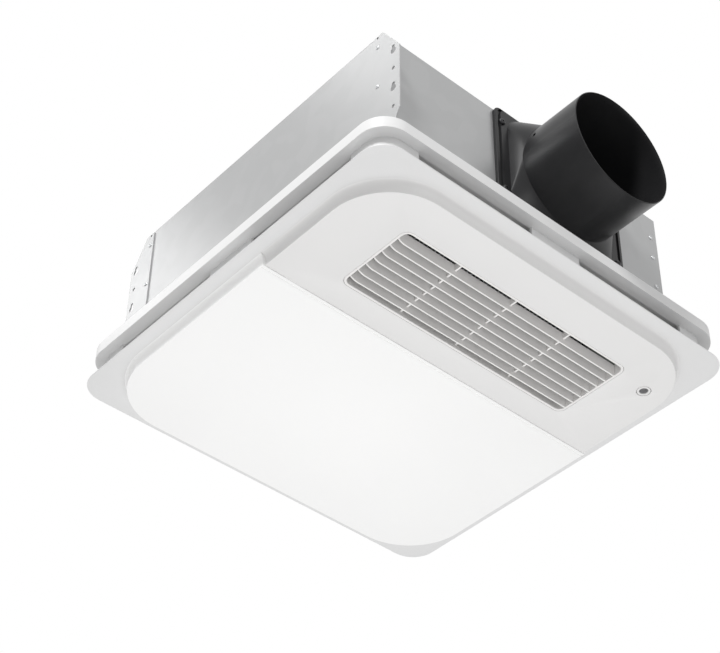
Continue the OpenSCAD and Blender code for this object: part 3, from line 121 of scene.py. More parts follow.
def spangled(name, look):
    # hot-dipped zinc: faint crystal cells, softened by the temper rolling
    material = surface(name, look)
    tree = material.node_tree
    shader = tree.nodes["Principled BSDF"]
    cells = addNode(tree, "ShaderNodeTexVoronoi", Scale=look["cells"], Randomness=1.0,
                    feature="SMOOTH_F1", Smoothness=look["cellBlend"])
    tree.links.new(objectPlace(tree), cells.inputs["Vector"])
    parts = addNode(tree, "ShaderNodeSeparateColor")
    tree.links.new(cells.outputs["Color"], parts.inputs["Color"])
    dark, light = (shade(look["colour"], factor) for factor in look["cellShade"])
    tree.links.new(tint(tree, parts.outputs["Red"], dark, light), shader.inputs["Base Color"])
    return material


def glowing(name, look):
    # lit from behind: brighter over the board, softer at the rim
    material = surface(name, look)
    tree = material.node_tree
    shader = tree.nodes["Principled BSDF"]
    coords = addNode(tree, "ShaderNodeTexCoord")
    mapping = addNode(tree, "ShaderNodeMapping", Location=look["glowShift"], Scale=look["glowScale"])
    tree.links.new(coords.outputs["Object"], mapping.inputs["Vector"])
    ball = addNode(tree, "ShaderNodeTexGradient", gradient_type="SPHERICAL")
    tree.links.new(mapping.outputs["Vector"], ball.inputs["Vector"])
    low, high = look["glow"]
    glow = spread(tree, ball.outputs["Fac"], low, high, (0, 1))
    tree.links.new(glow, shader.inputs["Emission Strength"])
    shader.inputs["Emission Color"].default_value = look["glowColour"]
    return material


# broad and fine are the scales of two noises, and grain is how deep the bump goes, in metres
looks = {
    "galvanised": {"colour": (0.42, 0.423, 0.425), "vary": 0.02, "roughness": (0.32, 0.38), "broad": 7,
                   "fine": 700, "bump": 0.035, "grain": 0.0002, "cells": 70, "cellBlend": 0.6,
                   "cellShade": (0.985, 1.015), "shader": {"Metallic": 0.5}},
    "zinc": {"colour": (0.6, 0.61, 0.62), "vary": 0.06, "roughness": (0.28, 0.42), "broad": 160,
             "fine": 1500, "bump": 0.08, "grain": 0.0001, "shader": {"Metallic": 0.85}},
    "blackZinc": {"colour": (0.022, 0.022, 0.024), "vary": 0.1, "roughness": (0.36, 0.46), "broad": 160,
                  "fine": 1500, "bump": 0.08, "grain": 0.0001, "shader": {"Metallic": 0.4}},
    "panelWhite": {"colour": (0.79, 0.79, 0.79), "vary": 0.008, "roughness": (0.3, 0.4), "broad": 14,
                   "fine": 1400, "bump": 0.06, "grain": 0.0001, "shader": {"Specular IOR Level": 0.45}},
    "ringWhite": {"colour": (0.78, 0.78, 0.78), "vary": 0.012, "roughness": (0.34, 0.46), "broad": 18,
                  "fine": 1200, "bump": 0.08, "grain": 0.0001, "shader": {"Specular IOR Level": 0.45}},
    "ventWhite": {"colour": (0.85, 0.845, 0.84), "vary": 0.008, "roughness": (0.3, 0.4), "broad": 14,
                  "fine": 1400, "bump": 0.06, "grain": 0.0001, "shader": {"Specular IOR Level": 0.45}},
    "louvreWhite": {"colour": (0.9, 0.887, 0.875), "vary": 0.012, "roughness": (0.36, 0.48), "broad": 30,
                    "fine": 1200, "bump": 0.08, "grain": 0.0001, "shader": {"Specular IOR Level": 0.4}},
    "blackPlastic": {"colour": (0.019, 0.019, 0.02), "vary": 0.15, "roughness": (0.28, 0.36), "broad": 22,
                     "fine": 1100, "bump": 0.12, "grain": 0.00015, "shader": {"Specular IOR Level": 0.2}},
    "greyPlastic": {"colour": (0.24, 0.25, 0.26), "vary": 0.05, "roughness": (0.42, 0.55), "broad": 30,
                    "fine": 900, "bump": 0.12, "grain": 0.0001},
    "partWhite": {"colour": (0.7, 0.7, 0.69), "vary": 0.03, "roughness": (0.4, 0.52), "broad": 40,
                  "fine": 1100, "bump": 0.1, "grain": 0.0001},
    "aluminium": {"colour": (0.66, 0.67, 0.68), "vary": 0.05, "roughness": (0.26, 0.4), "broad": 120,
                  "fine": 700, "bump": 0.15, "grain": 0.0001, "stretch": (1, 0.04, 1),
                  "shader": {"Metallic": 1.0}},
    "brass": {"colour": (0.66, 0.5, 0.22), "vary": 0.08, "roughness": (0.25, 0.4), "broad": 140,
              "fine": 1200, "bump": 0.08, "grain": 0.0001, "shader": {"Metallic": 1.0}},
    "boardGreen": {"colour": (0.03, 0.16, 0.08), "vary": 0.25, "roughness": (0.3, 0.45), "broad": 260,
                   "fine": 1400, "bump": 0.2, "grain": 0.0001},
    "groundGreen": {"colour": (0.04, 0.28, 0.1), "vary": 0.12, "roughness": (0.3, 0.42), "broad": 200,
                    "fine": 1200, "bump": 0.1, "grain": 0.0001, "shader": {"Metallic": 0.6}},
    "motorBlack": {"colour": (0.03, 0.031, 0.034), "vary": 0.15, "roughness": (0.4, 0.55), "broad": 60,
                   "fine": 1600, "bump": 0.3, "grain": 0.0002, "shader": {"Metallic": 0.3}},
    "lensDark": {"colour": (0.12, 0.12, 0.125), "vary": 0.2, "roughness": (0.12, 0.2), "broad": 400,
                 "fine": 900, "bump": 0.03, "grain": 0.0001, "shader": {"Coat Weight": 0.5}},
    "emitterYellow": {"colour": (0.86, 0.74, 0.3), "vary": 0.08, "roughness": (0.35, 0.5), "broad": 500,
                      "fine": 1500, "bump": 0.1, "grain": 0.0001},
    "opal": {"colour": (0.8, 0.8, 0.797), "vary": 0.006, "roughness": (0.38, 0.48), "broad": 12,
             "fine": 1600, "bump": 0.05, "grain": 0.0001, "glow": (0.16, 0.205),
             "glowColour": (1.0, 1.0, 0.99, 1), "glowShift": (0.35, 0, 0), "glowScale": (5.5, 4.2, 1)},
}
makers = {"galvanised": spangled, "opal": glowing}
finishes = {name: makers.get(name, surface)(name, look) for name, look in looks.items()}
print("materials ready:", len(finishes))

# the finish of each slot of the record, and of the nodes that differ from their slot
slotFinish = {
    "galvanised": "galvanised", "zinc": "zinc", "white_plastic": "partWhite", "opal_plastic": "opal",
    "black_plastic": "blackPlastic", "grey_plastic": "greyPlastic", "aluminium": "aluminium",
    "brass": "brass", "board_green": "boardGreen", "motor_black": "motorBlack",
    "ground_green": "groundGreen", "emitter_yellow": "emitterYellow", "lens_dark": "lensDark",
}
nodeFinish = {
    "frame_ring": "ringWhite", "panel_plate": "panelWhite", "vent_cover": "ventWhite",
    "louvre_grille": "louvreWhite", "receiver_bezel": "ventWhite", "adapter_screws": "blackZinc",
}
nodeSlot = {p["node"]: p["material_slot"] for p in frame["record"]["subparts"]}
nodeBody = {n: body for body, nodes in frame["record"]["behaviour"]["bodies"].items() for n in nodes}
replacedNodes = set()


# Shared modelling helpers. New pieces are made in millimetres and scaled once at the end.
def pieceName(node):
    return "".join(w if i == 0 else w.capitalize() for i, w in enumerate(node.split("_")))


def addObject(name, data):
    made = bpy.data.objects.new(name, data)
    bpy.context.scene.collection.objects.link(made)
    return made


def placePiece(bm, node, angle=32, unit=mm, recalc=True):
    # merges the mesh, turns it into an object and lets it stand for its CAD node
    bmesh.ops.remove_doubles(bm, verts=bm.verts, dist=weld * mm / unit)
    if recalc:
        bmesh.ops.recalc_face_normals(bm, faces=bm.faces)
    bmesh.ops.scale(bm, vec=(unit, unit, unit), verts=bm.verts)
    name = pieceName(node)
    mesh = bpy.data.meshes.new(name)
    bm.to_mesh(mesh)
    bm.free()
    mesh.materials.append(finishes[nodeFinish.get(node, slotFinish[nodeSlot[node]])])
    mesh.shade_smooth()
    mesh.set_sharp_from_angle(angle=math.radians(angle))
    piece = addObject(name, mesh)
    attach(piece, nodeBody[node])
    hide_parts(node)
    replacedNodes.add(node)
    return piece


def flattenShading(piece):
    weigh = piece.modifiers.new("flats", "WEIGHTED_NORMAL")
    weigh.keep_sharp = True
    return piece


def softenEdges(piece, width, segments=2, degrees=38):
    bevel = piece.modifiers.new("edges", "BEVEL")
    bevel.width = width
    bevel.segments = segments
    bevel.limit_method = "ANGLE"
    bevel.angle_limit = math.radians(degrees)
    bevel.use_clamp_overlap = True
    return flattenShading(piece)


def nodeMesh(node):
    # a merged copy of the CAD node's mesh, in metres
    bm = bmesh.new()
    bm.from_mesh(frame["nodes"][node].data)
    bmesh.ops.remove_doubles(bm, verts=bm.verts, dist=weld * mm)
    return bm


def dressNode(node, bm, edge=0.25 * mm, segments=2):
    # puts the copy of a CAD node in its place, with its edges softened
    bmesh.ops.dissolve_limit(bm, angle_limit=flatTurn, verts=bm.verts, edges=bm.edges)
    return softenEdges(placePiece(bm, node, unit=1, recalc=False), edge, segments)


def eachOnce(items):
    # as a set would, but in the same order in every run
    return list(dict.fromkeys(items))


def liesAt(edge, axis, value):
    return all(abs(v.co[axis] - value) < sameSpot for v in edge.verts)


def cutAcross(bm, x, side=1, clear=False):
    # cuts the mesh by a plane across X, and may clear what lies behind that side
    bmesh.ops.bisect_plane(bm, geom=bm.verts[:] + bm.edges[:] + bm.faces[:], dist=weld,
                           plane_co=(x, 0, 0), plane_no=(side, 0, 0), clear_inner=clear)


def roundedLoop(bm, halfX, halfY, radius, z, steps=16):
    # open loop of edges with round corners
    made = bmesh.ops.create_grid(bm, x_segments=1, y_segments=1, size=1)
    bmesh.ops.scale(bm, vec=(halfX, halfY, 1), verts=made["verts"])
    bmesh.ops.translate(bm, vec=(0, 0, z), verts=made["verts"])
    corners = bmesh.ops.bevel(bm, geom=made["verts"], offset=radius, offset_type="OFFSET",
                              affect="VERTICES", segments=steps, profile=0.5, material=-1)
    face = max((f for v in corners["verts"] for f in v.link_faces), key=lambda f: len(f.verts))
    edges = list(face.edges)
    bmesh.ops.delete(bm, geom=[face], context="FACES_ONLY")
    return edges


def loftLoops(bm, rows, steps=16, closed=False, apart=20):
    # skin over rounded loops, each given as (half x, half y, corner radius, z), which are
    # bridged while they stand well apart and only then brought to their heights
    loops = [roundedLoop(bm, *row[:3], i * apart, steps) for i, row in enumerate(rows)]
    for near, far in zip(loops, loops[1:] + (loops[:1] if closed else [])):
        bmesh.ops.bridge_loops(bm, edges=near + far)
    for loop, row in zip(loops, rows):
        for vert in eachOnce(v for edge in loop for v in edge.verts):
            vert.co.z = row[3]


def turn(bm, profile, steps=48):
    # full turn about Z of a profile of (radius, z)
    verts = [bm.verts.new((radius, 0, z)) for radius, z in profile]
    edges = [bm.edges.new(pair) for pair in zip(verts, verts[1:])]
    bmesh.ops.spin(bm, geom=verts + edges, cent=(0, 0, 0), axis=(0, 0, 1), angle=math.tau,
                   steps=steps, use_merge=True)
    bmesh.ops.remove_doubles(bm, verts=bm.verts, dist=weld)


def quarter(startX, startZ, endX, endZ, steps, hollow=False):
    # points of a quarter ellipse after its start, bulging outwards or hollow
    points = []
    for i in range(1, steps + 1):
        a = math.pi / 2 * i / steps
        shareX, shareZ = math.sin(a), 1 - math.cos(a)
        if hollow:
            shareX, shareZ = shareZ, shareX
        points.append((startX + (endX - startX) * shareX, startZ + (endZ - startZ) * shareZ))
    return points


def looseParts(node):
    # lowest and highest corner of each solid of a CAD node, in millimetres
    bm = nodeMesh(node)
    seen, parts = set(), []
    for first in bm.verts:
        found, front = [], [first]
        while front:
            vert = front.pop()
            if vert not in seen:
                seen.add(vert)
                found.append(vert.co / mm)
                front += [edge.other_vert(vert) for edge in vert.link_edges]
        if found:
            parts.append([Vector(pick(c[i] for c in found) for i in range(3)) for pick in (min, max)])
    bm.free()
    return parts


# Fasteners: rivets with the hollow of their pulled stem, and pan screws with a cross recess.
fasteners = {
    "rivets": {"ear_rivets": 1, "seam_rivets": 0},  # the axis that they stand out along
    "screws": {"frame_screws": (0, 0, -1), "adapter_screws": (1, 0, 0), "inlet_screws": (0, 0, -1),
               "motor_screws": (0, 0, 1), "flap_motor_screws": (0, -1, 0),
               "wiring_cover_screws": (0, -1, 0), "panel_screws": (0, 0, 1)},
    # the heads are outlines of (radius, height above the seat)
    "rivetHead": ((1.2, 0), (1.9, 0), (1.9, 0.15), (1.72, 0.44), (1.35, 0.66), (0.9, 0.78), (0.62, 0.8),
                  (0.52, 0.7), (0.46, 0.38), (0, 0.34)),
    "screwHead": ((1.45, 0), (3, 0), (3, 0.45), (2.92, 0.85), (2.66, 1.25), (2.2, 1.6), (1.75, 1.78),
                  (1.6, 1.8)),
    "stem": 1.2, "thread": 1.45, "tipShare": 0.75, "tipLength": 0.5, "steps": 24,
    "headHeight": {"rivets": 0.8, "screws": 1.8}, "sharp": 40,
    "twist": 0.9,  # in radians, from one fastener to the next
    "crossHalf": 1.3, "crossArm": 0.32, "crossDepth": 1.1, "crossTaper": 0.62,
}


def crossRecess(bm, top):
    # fills the open top of a screw's head round a cross and sinks the cross
    arm = fasteners["crossArm"]
    rim = [e for e in bm.edges if len(e.link_faces) == 1 and liesAt(e, 2, top)]
    made = bmesh.ops.create_grid(bm, x_segments=3, y_segments=3, size=1)
    for vert in made["verts"]:
        for axis in range(2):
            outer = abs(vert.co[axis]) > 0.5  # the grid's lines lie at a third and at one
            vert.co[axis] = math.copysign(fasteners["crossHalf"] if outer else arm, vert.co[axis])
        vert.co.z = top
    squares = eachOnce(f for v in made["verts"] for f in v.link_faces)
    corners = [f for f in squares if min(abs(c) for c in f.calc_center_median().xy) > arm]
    cross = [f for f in squares if f not in corners]
    bmesh.ops.delete(bm, geom=corners, context="FACES")
    outline = [e for f in cross for e in f.edges if len(e.link_faces) == 1]
    bmesh.ops.triangle_fill(bm, edges=rim + outline, use_beauty=True)
    sunk = bmesh.ops.extrude_face_region(bm, geom=cross)["geom"]
    verts = [g for g in sunk if isinstance(g, bmesh.types.BMVert)]
    bmesh.ops.delete(bm, geom=cross, context="FACES")
    bmesh.ops.translate(bm, vec=(0, 0, -fasteners["crossDepth"]), verts=verts)
    bmesh.ops.scale(bm, vec=(fasteners["crossTaper"], fasteners["crossTaper"], 1), verts=verts)


def fastenerMesh(kind, depth):
    bm = bmesh.new()
    radius = fasteners["stem" if kind == "rivets" else "thread"]
    head = fasteners["rivetHead" if kind == "rivets" else "screwHead"]
    tip = radius * fasteners["tipShare"]
    shoulder = fasteners["tipLength"] - depth
    turn(bm, [(0, -depth), (tip, -depth), (radius, shoulder), *head], fasteners["steps"])
    if kind == "screws":
        crossRecess(bm, head[-1][1])
    bmesh.ops.recalc_face_normals(bm, faces=bm.faces)
    mesh = bpy.data.meshes.new(kind)
    bm.to_mesh(mesh)
    bm.free()
    return mesh


def buildFasteners(kind, node, way):
    # one copy on each solid of the node, seated where that solid's head starts
    bm = bmesh.new()
    for number, (low, high) in enumerate(looseParts(node)):
        middle = (low + high) / 2
        if kind == "rivets":
            out = Vector([math.copysign(1, middle[i]) if i == way else 0 for i in range(3)])
        else:
            out = Vector(way)
        length = abs((high - low).dot(out))
        head = fasteners["headHeight"][kind]
        seat = middle + out * (length / 2 - head)
        source = fastenerMesh(kind, length - head)
        start = len(bm.verts)
        bm.from_mesh(source)
        bpy.data.meshes.remove(source)
        bm.verts.ensure_lookup_table()
        spun = Matrix.Rotation(number * fasteners["twist"], 4, "Z")
        facing = out.to_track_quat("Z", "Y").to_matrix().to_4x4()
        bmesh.ops.transform(bm, verts=bm.verts[start:], matrix=Matrix.Translation(seat) @ facing @ spun)
    placePiece(bm, node, fasteners["sharp"])


for kind in ("rivets", "screws"):
    for node, way in fasteners[kind].items():
        buildFasteners(kind, node, way)
print("fasteners ready")

# Panel: a thin square plate, and a raised face that is cut into the light and the vent cover.
panel = {
    "half": 175, "faceCorner": 33, "corner": 21.4, "edgeIn": 1.6, "edgeHigh": 0.5, "low": -33.1,
    "high": -30.9, "rimTop": -32.3, "thinFrom": 5, "thinCorner": 23.4, "opening": 164.02,
    "openingCorner": 55.02, "rimShares": (0.3, 0.62, 0.88, 1), "steps": 20,
}
shell = {
    "half": 160, "corner": 51, "low": -42.9, "edgeRound": 0.45, "coveRun": 4, "footTop": -30.9,
    "flange": 4, "flangeTop": -29.7, "wallIn": 2.5, "floor": -40.9, "split": 36, "gap": 0.8,
    "steps": 24, "coveSteps": 12, "edgeSteps": 5, "crisp": 0.25, "crispSegments": 2, "sharp": 38,
    "lip": 2.7, "lipHalf": 0.5, "lipDeep": 1.3,
    "proud": {-1: 1.6, 1: 0},  # how far the light's face and the vent cover's stand out
}
vent = {
    "x": 93.5, "halfX": 33, "halfY": 108.5, "corner": 5, "rim": 2, "fit": 0.2, "collar": 1.5,
    "lip": 4, "lipLow": 2, "lipHigh": 3.2, "top": 9.9, "round": 0.3, "steps": 12,
    "slats": 7, "firstSlat": -26.85, "pitch": 8.367, "depth": 8.4, "thick": 1.4, "sink": 0.3,
    "lean": 12, "endRise": 5, "endRun": 9, "stations": 46, "bunching": 2.2, "depthRows": 5,
    "ribs": 3, "ribThick": 1.4, "ribFrom": 4, "soft": 0.3, "softSegments": 3,
}
receiver = {
    "x": 119.2, "y": 138.5, "hole": 5.75, "bezel": 5.2, "lens": 3.4, "height": 5, "lip": 8,
    "lipLow": 2, "lipHigh": 3, "sink": 0.4, "dome": 0.5,
    "inner": ((0, 0.5), (0.18, 0.15), (0.5, 0)),  # the bezel's rounded rims, as (out, deep)
    "outer": ((-0.45, 0), (-0.13, 0.13), (0, 0.45)),
    "domeTurns": (0, 0.3, 0.6, 0.9, 1.2, 1.4, math.pi / 2), "steps": 64,
}


def buildPanelPlate():
    bm = bmesh.new()
    p = panel
    slope = p["edgeHigh"] / p["edgeIn"]
    rows = [(p["opening"], p["openingCorner"], p["low"]),
            (p["half"] - p["edgeIn"], p["faceCorner"], p["low"])]
    for share in p["rimShares"]:  # rounds over from the face to the rim
        out = p["edgeIn"] * (math.sin(share * math.pi / 2) - 1)
        high = p["low"] + slope * p["edgeIn"] * (1 - math.cos(share * math.pi / 2))
        corner = p["faceCorner"] + (p["corner"] - p["faceCorner"]) * share
        rows.append((p["half"] + out, corner, high))
    rows += [(p["half"], p["corner"], p["rimTop"]),  # the plate thins towards its rim
             (p["half"] - p["thinFrom"], p["thinCorner"], p["high"]),
             (p["opening"], p["openingCorner"], p["high"])]
    loftLoops(bm, [(half, half, corner, z) for half, corner, z in rows], p["steps"], closed=True)
    placePiece(bm, "panel_plate")


def sinkLip(bm, x):
    # fine groove along the joint, which leaves a lip between the two
    for step in (-1, 0, 1):
        cutAcross(bm, x + step * shell["lipHalf"])
    for vert in bm.verts:
        if abs(vert.co.x - x) < sameSpot and vert.co.z < shell["floor"] - sameSpot:
            vert.co.z += shell["lipDeep"]


def shellProfile(side):
    # how far the shell stands out and at what height, from its floor over the flange to the face
    s = shell
    profile = [(-s["wallIn"], s["floor"]), (-s["wallIn"], s["flangeTop"]),
               (s["coveRun"] + s["flange"], s["flangeTop"]), (s["coveRun"] + s["flange"], s["footTop"]),
               (s["coveRun"], s["footTop"]), (s["coveRun"], panel["low"])]
    edgeTop = s["low"] + s["edgeRound"]
    edge = s["proud"][side]
    profile += quarter(s["coveRun"], panel["low"], edge, edgeTop, s["coveSteps"])
    return profile + quarter(edge, edgeTop, edge - s["edgeRound"], s["low"], s["edgeSteps"], hollow=True)


def addOpenings(bm):
    # the walls of the louvre's and the receiver's openings, from the face to the floor
    over = vent["rim"] + vent["fit"]
    rims = []
    for z in (shell["low"], shell["floor"]):
        louvreRim = roundedLoop(bm, vent["halfX"] + over, vent["halfY"] + over,
                                vent["corner"] + vent["rim"], z)
        corners = eachOnce(v for e in louvreRim for v in e.verts)
        bmesh.ops.translate(bm, vec=(vent["x"], 0, 0), verts=corners)
        made = bmesh.ops.create_circle(bm, segments=receiver["steps"], radius=receiver["hole"])
        bmesh.ops.translate(bm, vec=(receiver["x"], receiver["y"], z), verts=made["verts"])
        rims.append((louvreRim, eachOnce(e for v in made["verts"] for e in v.link_edges)))
    for faceRim, floorRim in zip(*rims):
        bmesh.ops.bridge_loops(bm, edges=faceRim + floorRim)


def shellHalf(node, side):
    # side is 1 for the part on the duct side of the joint and -1 for the light
    bm = bmesh.new()
    s = shell
    loftLoops(bm, [(s["half"] + grow, s["half"] + grow, s["corner"] + grow, z)
                   for grow, z in shellProfile(side)], s["steps"])
    cut = s["split"] + side * s["gap"] / 2
    cutAcross(bm, cut, side, True)
    for z in (s["low"], s["floor"]):  # closes the face and the floor along the joint
        bm.edges.new([v for v in bm.verts if abs(v.co.x - cut) < sameSpot and abs(v.co.z - z) < sameSpot
                      and any(len(e.link_faces) == 1 and liesAt(e, 2, z) for e in v.link_edges)])
    if side > 0:
        addOpenings(bm)
    for axis, value in ((2, s["low"]), (2, s["floor"]), (0, cut)):
        rim = [e for e in bm.edges if len(e.link_faces) < 2 and liesAt(e, axis, value)]
        bmesh.ops.triangle_fill(bm, edges=rim, use_beauty=True, use_dissolve=True)
    if side < 0:
        sinkLip(bm, cut - s["lip"])
    bmesh.ops.recalc_face_normals(bm, faces=bm.faces)
    crisp = [e for e in bm.edges if e.calc_face_angle(0) > math.radians(s["sharp"])
             and min(v.co.z for v in e.verts) < panel["low"] - sameSpot]
    bmesh.ops.bevel(bm, geom=crisp, offset=s["crisp"], offset_type="OFFSET", segments=s["crispSegments"],
                    profile=0.5, affect="EDGES", clamp_overlap=True, material=-1)
    placePiece(bm, node, s["sharp"])


def slatRise(run):
    # lift of a slat's lower edge at a distance in from its swept end
    share = min(1, max(0, run / vent["endRun"]))
    return vent["endRise"] * (1 - math.sqrt(1 - (1 - share) ** 2))


def addSlat(bm, x):
    v = vent
    start = len(bm.verts)
    made = bmesh.ops.create_grid(bm, x_segments=v["stations"], y_segments=v["depthRows"], size=1)
    verts = made["verts"]
    reach = v["halfY"] + v["collar"] / 2
    lean = math.tan(math.radians(v["lean"]))
    top = v["sink"] + v["depth"]
    for vert in verts:  # the stations crowd together at the swept end
        run = 2 * reach * ((vert.co.x + 1) / 2) ** v["bunching"]
        low = v["sink"] + slatRise(run)
        z = low + (top - low) * (vert.co.y + 1) / 2
        vert.co = (x + lean * (z - v["sink"] - v["depth"] / 2), run - reach, z)
    faces = eachOnce(face for vert in verts for face in vert.link_faces)
    edges = eachOnce(edge for face in faces for edge in face.edges)
    bm.normal_update()
    bmesh.ops.solidify(bm, geom=faces + edges + verts, thickness=v["thick"])
    bm.verts.ensure_lookup_table()
    bmesh.ops.translate(bm, vec=(v["thick"] / 2, 0, 0), verts=bm.verts[start:])


def buildGrille():
    bm = bmesh.new()
    v = vent
    x, y, corner, edge = v["halfX"], v["halfY"], v["corner"], v["round"]
    profile = [(0, v["sink"]), (edge, 0), (v["rim"] - edge, 0), (v["rim"], edge), (v["rim"], v["lipLow"]),
               (v["lip"], v["lipLow"]), (v["lip"], v["lipHigh"]), (v["collar"], v["lipHigh"]),
               (v["collar"], v["top"]), (0, v["top"])]
    rows = [(x + grow, y + grow, corner + grow, z) for grow, z in profile]
    loftLoops(bm, rows, v["steps"], closed=True)
    for k in range(v["slats"]):
        addSlat(bm, v["firstSlat"] + k * v["pitch"])
    for k in range(1, v["ribs"] + 1):
        rib = bmesh.ops.create_cube(bm, size=1)["verts"]
        bmesh.ops.scale(bm, vec=(2 * x + v["collar"], v["ribThick"], v["top"] - v["ribFrom"]), verts=rib)
        across = (k / (v["ribs"] + 1) - 0.5) * 2 * y
        bmesh.ops.translate(bm, vec=(0, across, (v["top"] + v["ribFrom"]) / 2), verts=rib)
    bmesh.ops.translate(bm, vec=(v["x"], 0, shell["low"]), verts=bm.verts)
    softenEdges(placePiece(bm, "louvre_grille"), v["soft"] * mm, v["softSegments"])


def buildReceiver():
    r = receiver
    place = Matrix.Translation((r["x"], r["y"], shell["low"]))
    bm = bmesh.new()
    face = [(r["lens"] + out, z) for out, z in r["inner"]]
    face += [(r["bezel"] + out, z) for out, z in r["outer"]]
    turn(bm, [(r["lens"], r["height"]), *face, (r["bezel"], r["lipLow"]), (r["lip"], r["lipLow"]),
              (r["lip"], r["lipHigh"]), (r["bezel"], r["lipHigh"]), (r["bezel"], r["height"]),
              (r["lens"], r["height"])], r["steps"])
    bmesh.ops.transform(bm, matrix=place, verts=bm.verts)
    placePiece(bm, "receiver_bezel")
    bm = bmesh.new()
    dome = [(r["lens"] * math.sin(a), r["sink"] + r["dome"] * (1 - math.cos(a))) for a in r["domeTurns"]]
    turn(bm, dome + [(r["lens"], r["height"]), (0, r["height"])], r["steps"])
    bmesh.ops.transform(bm, matrix=place, verts=bm.verts)
    placePiece(bm, "receiver_lens")


buildPanelPlate()
shellHalf("light_diffuser", -1)
shellHalf("vent_cover", 1)
buildGrille()
buildReceiver()
print("panel ready")

# Duct adapter: a ridged flange, a square hood that runs straight to the round collar.
adapter = {
    "wall": 143, "axisY": 31, "axisZ": 75.6,
    # each row is half a height, half a width, a corner radius and the distance from the wall
    "flange": ((50.5, 66.3, 6, 0), (50.5, 66.3, 6, 2.5), (50.3, 66.1, 5.9, 2.85), (50.2, 65.8, 5.8, 3),
               (50.1, 63.6, 5.6, 3), (50.05, 63.2, 5.5, 1.6), (50.05, 60.9, 5.5, 1.6), (50, 60.5, 5.6, 3),
               (49.95, 56.5, 14, 3)),
    "hood": (49.9, 53.5, 18), "hoodFrom": 3, "hoodLength": 12, "hoodShares": (0, 0.25, 0.5, 0.75, 1),
    "hoodStretch": 0.95, "stretchFrom": 5, "stretchRun": 40,
    "collar": 49, "bore": 47, "mouth": 66.4, "mouthBore": 48.35, "mouthTaper": 5,
    "roundEdge": 0.35, "roundMiddle": 0.15,
    "nearlyRound": 0.1,  # what a corner's radius lacks to its half side, so that the bevel holds
    "slotAngle": 20, "slotAt": (21.5, 24.5), "slotInset": 0.4, "slotDeep": 1.1,
    "steps": 18, "sharp": 28,
}


def adapterRows():
    # from the wall over the flange and the hood to the mouth, and back inside the collar
    a = adapter
    rows = list(a["flange"])
    high, wide, corner = a["hood"]
    collar, mouth, edge, middle = a["collar"], a["mouth"], a["roundEdge"], a["roundMiddle"]
    for share in a["hoodShares"]:
        rows.append((high + (collar - high) * share, wide + (collar - wide) * share,
                     corner + (collar - a["nearlyRound"] - corner) * share,
                     a["hoodFrom"] + (a["hoodLength"] - a["hoodFrom"]) * share))
    for radius, z in ((collar, a["slotAt"][0]), (collar, a["slotAt"][1]), (collar, mouth - edge),
                      (collar - middle, mouth - middle), (collar - edge, mouth), (a["mouthBore"], mouth),
                      (a["bore"], mouth - a["mouthTaper"]), (a["bore"], 0)):
        rows.append((radius, radius, radius - a["nearlyRound"], z))
    return rows


def buildAdapter():
    bm = bmesh.new()
    a = adapter
    loftLoops(bm, adapterRows(), a["steps"], closed=True)
    outside = (a["bore"] + a["collar"]) / 2
    for vert in bm.verts:  # the hood reaches further out along its top
        rise = vert.co.z - a["hoodFrom"]
        if 0 < rise < a["hoodLength"] and vert.co.xy.length > outside:
            share = min(1, max(0, (a["stretchFrom"] - vert.co.x) / a["stretchRun"]))
            vert.co.z += rise * a["hoodStretch"] * share * share * (3 - 2 * share)
    turned = math.radians(a["slotAngle"])
    spot = Vector((-math.sin(turned) * a["collar"], -math.cos(turned) * a["collar"], sum(a["slotAt"]) / 2))
    face = min(bm.faces, key=lambda f: (f.calc_center_median() - spot).length)
    bmesh.ops.recalc_face_normals(bm, faces=bm.faces)
    bmesh.ops.inset_individual(bm, faces=[face], thickness=a["slotInset"], depth=0)
    bmesh.ops.translate(bm, vec=-face.normal * a["slotDeep"], verts=face.verts)
    place = Matrix.Translation((a["wall"], a["axisY"], a["axisZ"])) @ Matrix.Rotation(math.pi / 2, 4, "Y")
    bmesh.ops.transform(bm, matrix=place, verts=bm.verts)
    flattenShading(placePiece(bm, "duct_adapter", a["sharp"]))


buildAdapter()
print("duct adapter ready")

# Panel springs: one wire each, an arm, a coil and the other arm, with hooks at the ends.
spring = {
    "x": 24, "y": 124, "z": -15.1, "wire": 0.95, "coil": 4, "pitch": 2.4, "arm": 64, "lean": 12,
    "turns": (180, 1080), "turnStep": 7.5, "sides": 3, "sharp": 60,
    "hook": ((6, 3), (4.5, 1.05), (2.7, 0.15), (1.5, 0.05), (0.48, 0.35), (-0.1, 0.95)),  # out and down
}


def springPath():
    # middle line of the wire, from hook to hook about the middle of the coil
    s = spring
    lean = math.radians(s["lean"])
    first, last = s["turns"][0] + s["lean"], s["turns"][1] - s["lean"]
    across = s["coil"] * math.cos(lean) + s["arm"] * math.sin(lean)
    up = s["arm"] * math.cos(lean)
    side = s["pitch"] * (last - first) / 360 / 2
    hook = [(across + out, up - down) for out, down in s["hook"]]
    path = [(-x, -side, z) for x, z in hook]
    count = int((last - first) / s["turnStep"])
    for i in range(count + 1):
        a = first + (last - first) * i / count
        path.append((s["coil"] * math.cos(math.radians(a)), s["pitch"] * (a - first) / 360 - side,
                     s["coil"] * math.sin(math.radians(a))))
    return path + [(x, side, z) for x, z in reversed(hook)]


